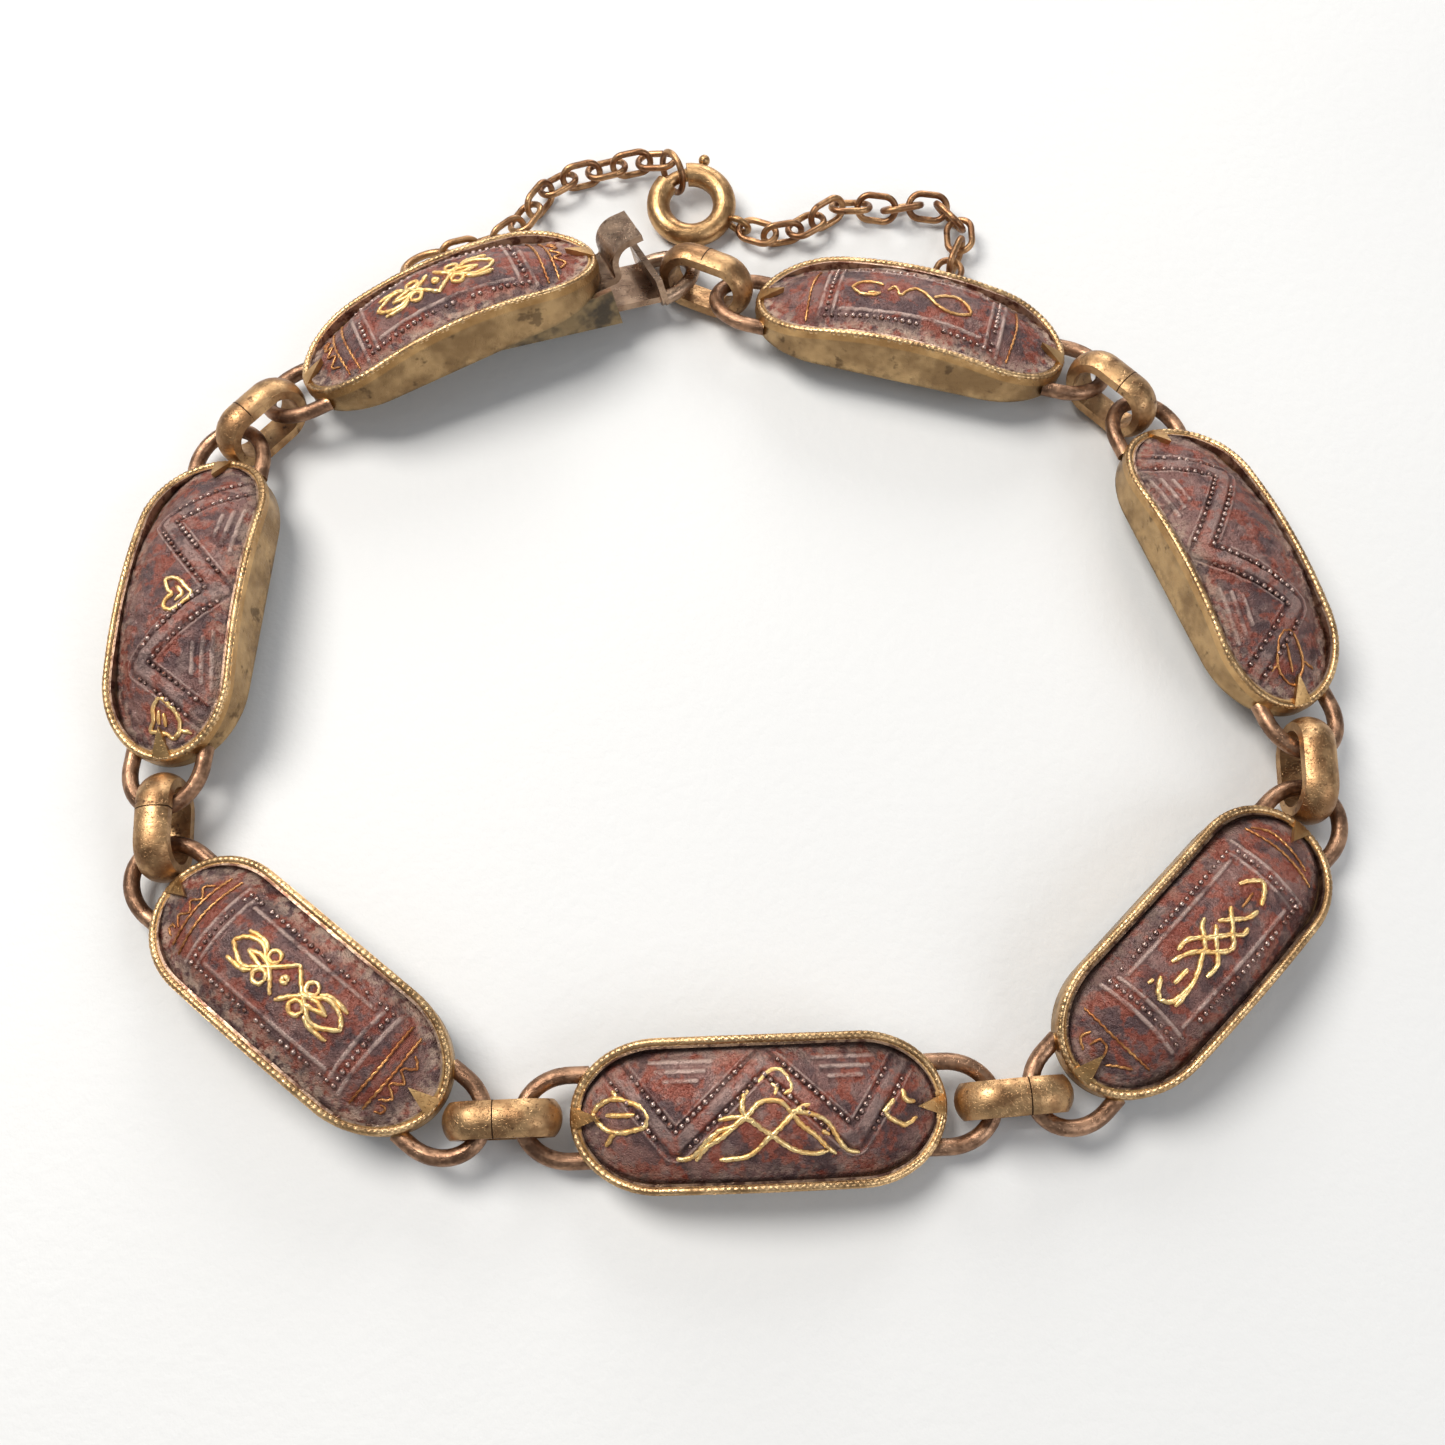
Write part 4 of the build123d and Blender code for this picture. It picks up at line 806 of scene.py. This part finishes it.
def beads_tree():
    """A low bead on every point, each of a slightly different size."""
    nodes, given, out = new_group(
        "Beads", "GeometryNodeTree",
        [("Points", GEOMETRY, None), ("Radius", FLOAT, 0.1 * MM), ("Smallest", FLOAT, 0.7),
         ("Largest", FLOAT, 1.0), ("Seed", "NodeSocketInt", 1), ("Material", "NodeSocketMaterial", None)],
        [("Beads", GEOMETRY)])
    bead = nodes.add("GeometryNodeMeshIcoSphere", {"Radius": given["Radius"], "Subdivisions": 2})
    size = nodes.add("FunctionNodeRandomValue", {"Seed": given["Seed"]}, data_type="FLOAT")
    nodes.feed(given["Smallest"], size.inputs[2])
    nodes.feed(given["Largest"], size.inputs[3])
    spread = nodes.add("GeometryNodeInstanceOnPoints", {"Points": given["Points"],
                                                        "Instance": bead.outputs[0]})
    nodes.tree.links.new(size.outputs[1], spread.inputs["Scale"])
    plain = nodes.add("GeometryNodeRealizeInstances", {"Geometry": spread.outputs[0]})
    coated = nodes.add("GeometryNodeSetMaterial", {"Geometry": plain.outputs[0],
                                                   "Material": given["Material"]})
    nodes.feed(coated.outputs[0], out["Beads"])
    return nodes.tree


SWEPT_WIRE = swept_wire_tree()
BEADS = beads_tree()


def grown(name, mesh, tree, slot, **inputs):
    """Runs a Geometry Nodes tree on a mesh and keeps the result as a plain piece."""
    source = bpy.data.objects.new(name + "_source", mesh)
    scene.collection.objects.link(source)
    modifier = source.modifiers.new("made", "NODES")
    modifier.node_group = tree
    for item in tree.interface.items_tree:
        key = item.name.replace(" ", "_")
        if item.in_out == "INPUT" and key in inputs:
            modifier[item.identifier] = inputs[key]
    bpy.context.view_layer.update()
    result = bpy.data.meshes.new_from_object(source.evaluated_get(bpy.context.evaluated_depsgraph_get()))
    bpy.data.objects.remove(source)
    result.name = name
    return new_piece(name, result)


def smoothed(path, spacing=0.12):
    """Points along a rounded line through the given points."""
    closed = path[0] == path[-1]
    made = []
    count = len(path)
    for i in range(count - 1):
        before = path[i - 1] if i else (path[-2] if closed else path[0])
        after = path[i + 2] if i + 2 < count else (path[1] if closed else path[-1])
        p = [np.array(q, float) for q in (before, path[i], path[i + 1], after)]
        steps = max(2, round(float(np.linalg.norm(p[2] - p[1])) / spacing))
        for step in range(steps):
            t = step / steps
            made.append(0.5 * (2 * p[1] + (p[2] - p[0]) * t + (2 * p[0] - 5 * p[1] + 4 * p[2] - p[3]) * t ** 2
                               + (3 * p[1] - p[0] - 3 * p[2] + p[3]) * t ** 3))
    if not closed:
        made.append(np.array(path[-1], float))
    return made, closed


# The gold wire's height above the iron, its room inside the plaque and its hand-laid unevenness
WIRE_LIFT, WIRE_MARGIN = 0.02, 0.25
WOBBLE, WOBBLE_PACE, SHAKE = 0.035, 2.1, 0.02
# How far the gold of a pattern is rubbed thin
WORN_GOLD = {"pair": 0.55, "bough": 0.75, "heart": 0.15}


def gold_inlay(index):
    """Gold wire hammered into the plaque along the charted lines."""
    pattern = PATTERNS[index]
    points, edges, widths, copper = [], [], [], []
    shaky = random.Random(60 + index)
    main_lines, end_lines = gold_lines(pattern)
    for line in main_lines + end_lines:
        path, closed = smoothed(millimetres(line))
        path = [p for p in path
                if abs(p[1]) < half_width_at(p[0], PLAQUE_LENGTH, PLAQUE_WIDTH, PLAQUE_END) - WIRE_MARGIN]
        if len(path) < 3:
            continue
        start = len(points)
        worn = WORN_GOLD.get(pattern, 0.0)
        fine = FINE_WIRE_SHARE if line in end_lines else 1.0 - 0.5 * worn
        copper += [1.0 if line in end_lines else worn] * len(path)
        for i, p in enumerate(path):
            wobble = WOBBLE * math.sin(WOBBLE_PACE * i + index)
            x, y = float(p[0]) + wobble, float(p[1]) + SHAKE * shaky.uniform(-1, 1)
            points.append((x, y, float(dome_height(x, y)) + WIRE_LIFT))
            tip = min(i, len(path) - 1 - i)
            widths.append(fine * (1.0 if closed or tip > 1 else 0.6 + 0.2 * tip) * shaky.uniform(0.85, 1.1))
        edges += [(start + i, start + i + 1) for i in range(len(path) - 1)]
        if closed and len(path) > 6:
            edges.append((start + len(path) - 1, start))
    mesh = new_mesh(f"gold_lines_{index + 1}", points, edges=edges, place=TRAYS[index])
    set_floats(mesh, "width", widths)
    set_floats(mesh, "copper", copper)
    piece = grown(mesh.name, mesh, SWEPT_WIRE, "gold", Radius=WIRE / 2 * MM, Step=0.09 * MM, Unevenness=0.35,
                  Seed=float(index), Sides=6, Material=GOLD)
    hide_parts(f"inlay_{index + 1}")


def bead_work(index, beads):
    """The iron beads of one plaque, with a few lost."""
    kept = random.Random(80 + index)
    points = [(x, y, float(dome_height(x, y)) + BEAD_LIFT) for x, y in beads
              if abs(y) < half_width_at(x, PLAQUE_LENGTH, PLAQUE_WIDTH, PLAQUE_END) - BEAD_MARGIN
              and kept.random() > BEADS_LOST]
    mesh = new_mesh(f"iron_beads_{index + 1}", points, place=TRAYS[index])
    grown(mesh.name, mesh, BEADS, "iron", Radius=BEAD_DIAMETER / 2 * MM, Smallest=SMALLEST_BEAD, Largest=1.0,
          Seed=5 + index, Material=IRON_BEADS)


EDGE_WIRE, EDGE_INSET, EDGE_SUNK = 0.215, 0.205, 0.07
# Nicks worn in the edge, by tray: the place along it and the side, and how wide and thin each is
NICK_REACH, NICK_SHARE = 0.2, 0.5
NICKS = {1: [(5.2, -1.0)], 3: [(-4.9, 1.0)], 4: [(-4.9, 1.0)], 5: [(-4.1, 1.0)], 6: [(-4.6, 1.0)]}


def milled_edge(index):
    """The rim's bright milled edge, which follows the arched top of the tray's wall."""
    outline = oval_points(PANEL_LENGTH - 2 * EDGE_INSET, PANEL_WIDTH - 2 * EDGE_INSET,
                          END_DEPTH - EDGE_INSET, 0.25)
    points, widths = [], []
    for x, y in outline:
        points.append((x, y, rim_height(x) - EDGE_SUNK))
        near = [math.hypot(x - nx, y - side * PANEL_WIDTH / 2) for nx, side in NICKS.get(index, [])]
        widths.append(NICK_SHARE if near and min(near) < NICK_REACH else 1.0)
    count = len(points)
    edges = [(i, (i + 1) % count) for i in range(count)]
    mesh = new_mesh(f"milled_edge_{index + 1}", points, edges=edges, place=TRAYS[index])
    set_floats(mesh, "width", widths)
    grown(mesh.name, mesh, SWEPT_WIRE, "tray_brass", Radius=EDGE_WIRE * MM, Step=0.085 * MM, Notch_depth=0.17,
          Notch_every=4, Unevenness=0.16, Seed=20.0 + index, Sides=10, Material=MILLED)


def link_frames():
    frames = []
    for i, lean in enumerate(LINK_LEANS):
        low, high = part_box(f"link_{i + 1}")
        middle = (low + high) / 2 / MM
        if i < len(LINK_HEADINGS):
            heading = LINK_HEADINGS[i]
        else:
            seat = TRAYS[i] @ Vector((PANEL_LENGTH / 2 + LINK_SEAT, 0, STAPLE_RISE))
            heading = math.degrees(math.atan2(middle.y - seat.y, middle.x - seat.x))
        frames.append(Matrix.Translation(middle) @ turn("Z", heading) @ turn("X", lean))
    return frames


LINKS = link_frames()
# Where a link's joint shows, by link: the place along its band and the side
SEAM_PLACES = {2: (-0.3, 1), 3: (0.55, 1), 6: (0.3, 1), 0: (0.6, 1), 5: (-0.5, 1), 1: (-0.6, 1)}
SEAM_PROUD, SEAM_HALF, CROWN_STEPS = 1.012, 0.035, 12


def link_seam(index, x, side):
    """The fine closed joint across a link's band."""
    outline = [(-LINK_WIDTH / 2, 0.0), (LINK_WIDTH / 2, 0.0), (LINK_WIDTH / 2, LINK_EDGE)]
    crown = arc_radius(LINK_WIDTH / 2, LINK_THICKNESS - LINK_EDGE)
    for i in range(1, CROWN_STEPS):
        y = LINK_WIDTH / 2 - LINK_WIDTH * i / CROWN_STEPS
        outline.append((y, LINK_THICKNESS - crown + math.sqrt(crown ** 2 - y * y)))
    outline.append((-LINK_WIDTH / 2, LINK_EDGE))
    inner = LINK_HEIGHT / 2 - LINK_THICKNESS
    points, faces = [], []
    for end in (-SEAM_HALF, SEAM_HALF):
        for y, z in outline:
            lift = LINK_THICKNESS / 2 + (z - LINK_THICKNESS / 2) * SEAM_PROUD
            points.append((x + end, y * SEAM_PROUD, side * (inner + lift)))
    count = len(outline)
    for k in range(count):
        n = (k + 1) % count
        faces.append((k, n, count + n, count + k))
    faces.append(tuple(range(count)))
    faces.append(tuple(reversed(range(count, 2 * count))))
    mesh = new_mesh(f"link_seam_{index + 1}", points, faces, place=LINKS[index])
    tidy = bmesh.new()
    tidy.from_mesh(mesh)
    bmesh.ops.recalc_face_normals(tidy, faces=tidy.faces)
    tidy.to_mesh(mesh)
    tidy.free()
    mesh.materials.append(SEAM)
    new_piece(mesh.name, mesh, smooth=False)


# The plaques, beads, gold, edges and seams, and the materials of the CAD pieces

IRON = [iron_finish(f"old iron {i + 1}", 5.0 + 3.7 * i, 0.06 + 0.05 * (i % 3), CRUST_FILL[i])
        for i in range(len(TRAY_POSES))]
IRON_BEADS = worn_metal("iron beads", colour(190, 166, 156), colour(132, 106, 98), colour(126, 76, 58), 0.54,
                        0.26, 0.44, 23.0)

for number in range(len(TRAY_POSES)):
    bead_work(number, plaque_face(number))
    gold_inlay(number)
    milled_edge(number)
for number, (along, side) in SEAM_PLACES.items():
    link_seam(number, along, side)


def coat(node, material):
    """Gives a CAD piece its material."""
    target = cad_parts[node]
    if not target.material_slots:
        target.data.materials.append(material)
    for held in target.material_slots:
        held.material = material


for number in range(len(TRAY_POSES)):
    coat(f"setting_{number + 1}", tray_finish(number))
    coat(f"link_{number + 1}", LINK)
coat("clasp_tongue", TONGUE)
coat("guard_ring", CHAIN)
coat("bolt_ring", RING)
coat("bolt", RING)
coat("safety_chain_left", CHAIN)
coat("safety_chain_right", CHAIN)


# Floor, light and camera

FLOOR_HALF = 0.6
# The sky's tint and strength
SKY_TINT, SKY_STRENGTH = (0.86, 0.88, 0.92, 1.0), 0.32


def floor():
    mesh = bpy.data.meshes.new("floor")
    half = FLOOR_HALF
    corners = [(-half, -half, 0), (half, -half, 0), (half, half, 0), (-half, half, 0)]
    mesh.from_pydata(corners, [], [(0, 1, 2, 3)])
    plane = bpy.data.objects.new("floor", mesh)
    scene.collection.objects.link(plane)
    finish = Finish("pale floor", metallic=0.0, roughness=0.6)
    grain = finish.noise(finish.millimetres, 1.2, 3.0, 0.6)
    broad = finish.noise(finish.millimetres, 0.02, 2.0)
    base = finish.mix(broad, colour(226, 226, 224), colour(216, 216, 215))
    mesh.materials.append(finish.finish(base, None, grain, 0.04))


def soft_light(name, place, size, power, tint=(1.0, 1.0, 1.0)):
    """A round soft light that looks at the middle of the loop."""
    data = bpy.data.lights.new(name, "AREA")
    data.shape = "DISK"
    data.size = size
    data.energy = power
    data.color = tint
    light = bpy.data.objects.new(name, data)
    light.location = place
    light.rotation_euler = (-Vector(place)).to_track_quat("-Z", "Y").to_euler()
    scene.collection.objects.link(light)


def camera():
    front = TRAYS[3].translation
    origin = Vector((front.x + CAMERA_FOCUS[0], front.y + CAMERA_FOCUS[1], 0.0))
    place = Vector(CAMERA_PLACE)
    ahead = -place.normalized()
    right = Vector((1, 0, 0))
    up = right.cross(ahead)
    roll = math.radians(CAMERA_ROLL)
    axis_x = right * math.cos(roll) + up * math.sin(roll)
    axis_y = up * math.cos(roll) - right * math.sin(roll)
    at = (origin + place) * MM
    data = bpy.data.cameras.new("camera")
    data.lens = CAMERA_LENS
    data.sensor_width = 36.0
    data.clip_start, data.clip_end = 0.005, 5.0
    eye = bpy.data.objects.new("camera", data)
    eye.matrix_world = Matrix((
        (axis_x.x, axis_y.x, -ahead.x, at.x), (axis_x.y, axis_y.y, -ahead.y, at.y),
        (axis_x.z, axis_y.z, -ahead.z, at.z), (0, 0, 0, 1)))
    scene.collection.objects.link(eye)
    scene.camera = eye


floor()
soft_light("key", (-0.16, 0.10, 0.30), 0.20, 1.25, (1.0, 0.97, 0.93))
soft_light("fill", (0.26, -0.16, 0.22), 0.22, 0.40, (0.93, 0.96, 1.0))
soft_light("back", (0.05, 0.34, 0.16), 0.2, 0.55)
world = bpy.data.worlds.new("studio")
scene.world = world
world.use_nodes = True
world.node_tree.nodes["Background"].inputs[0].default_value = SKY_TINT
world.node_tree.nodes["Background"].inputs[1].default_value = SKY_STRENGTH
scene.view_settings.view_transform = "Standard"
camera()
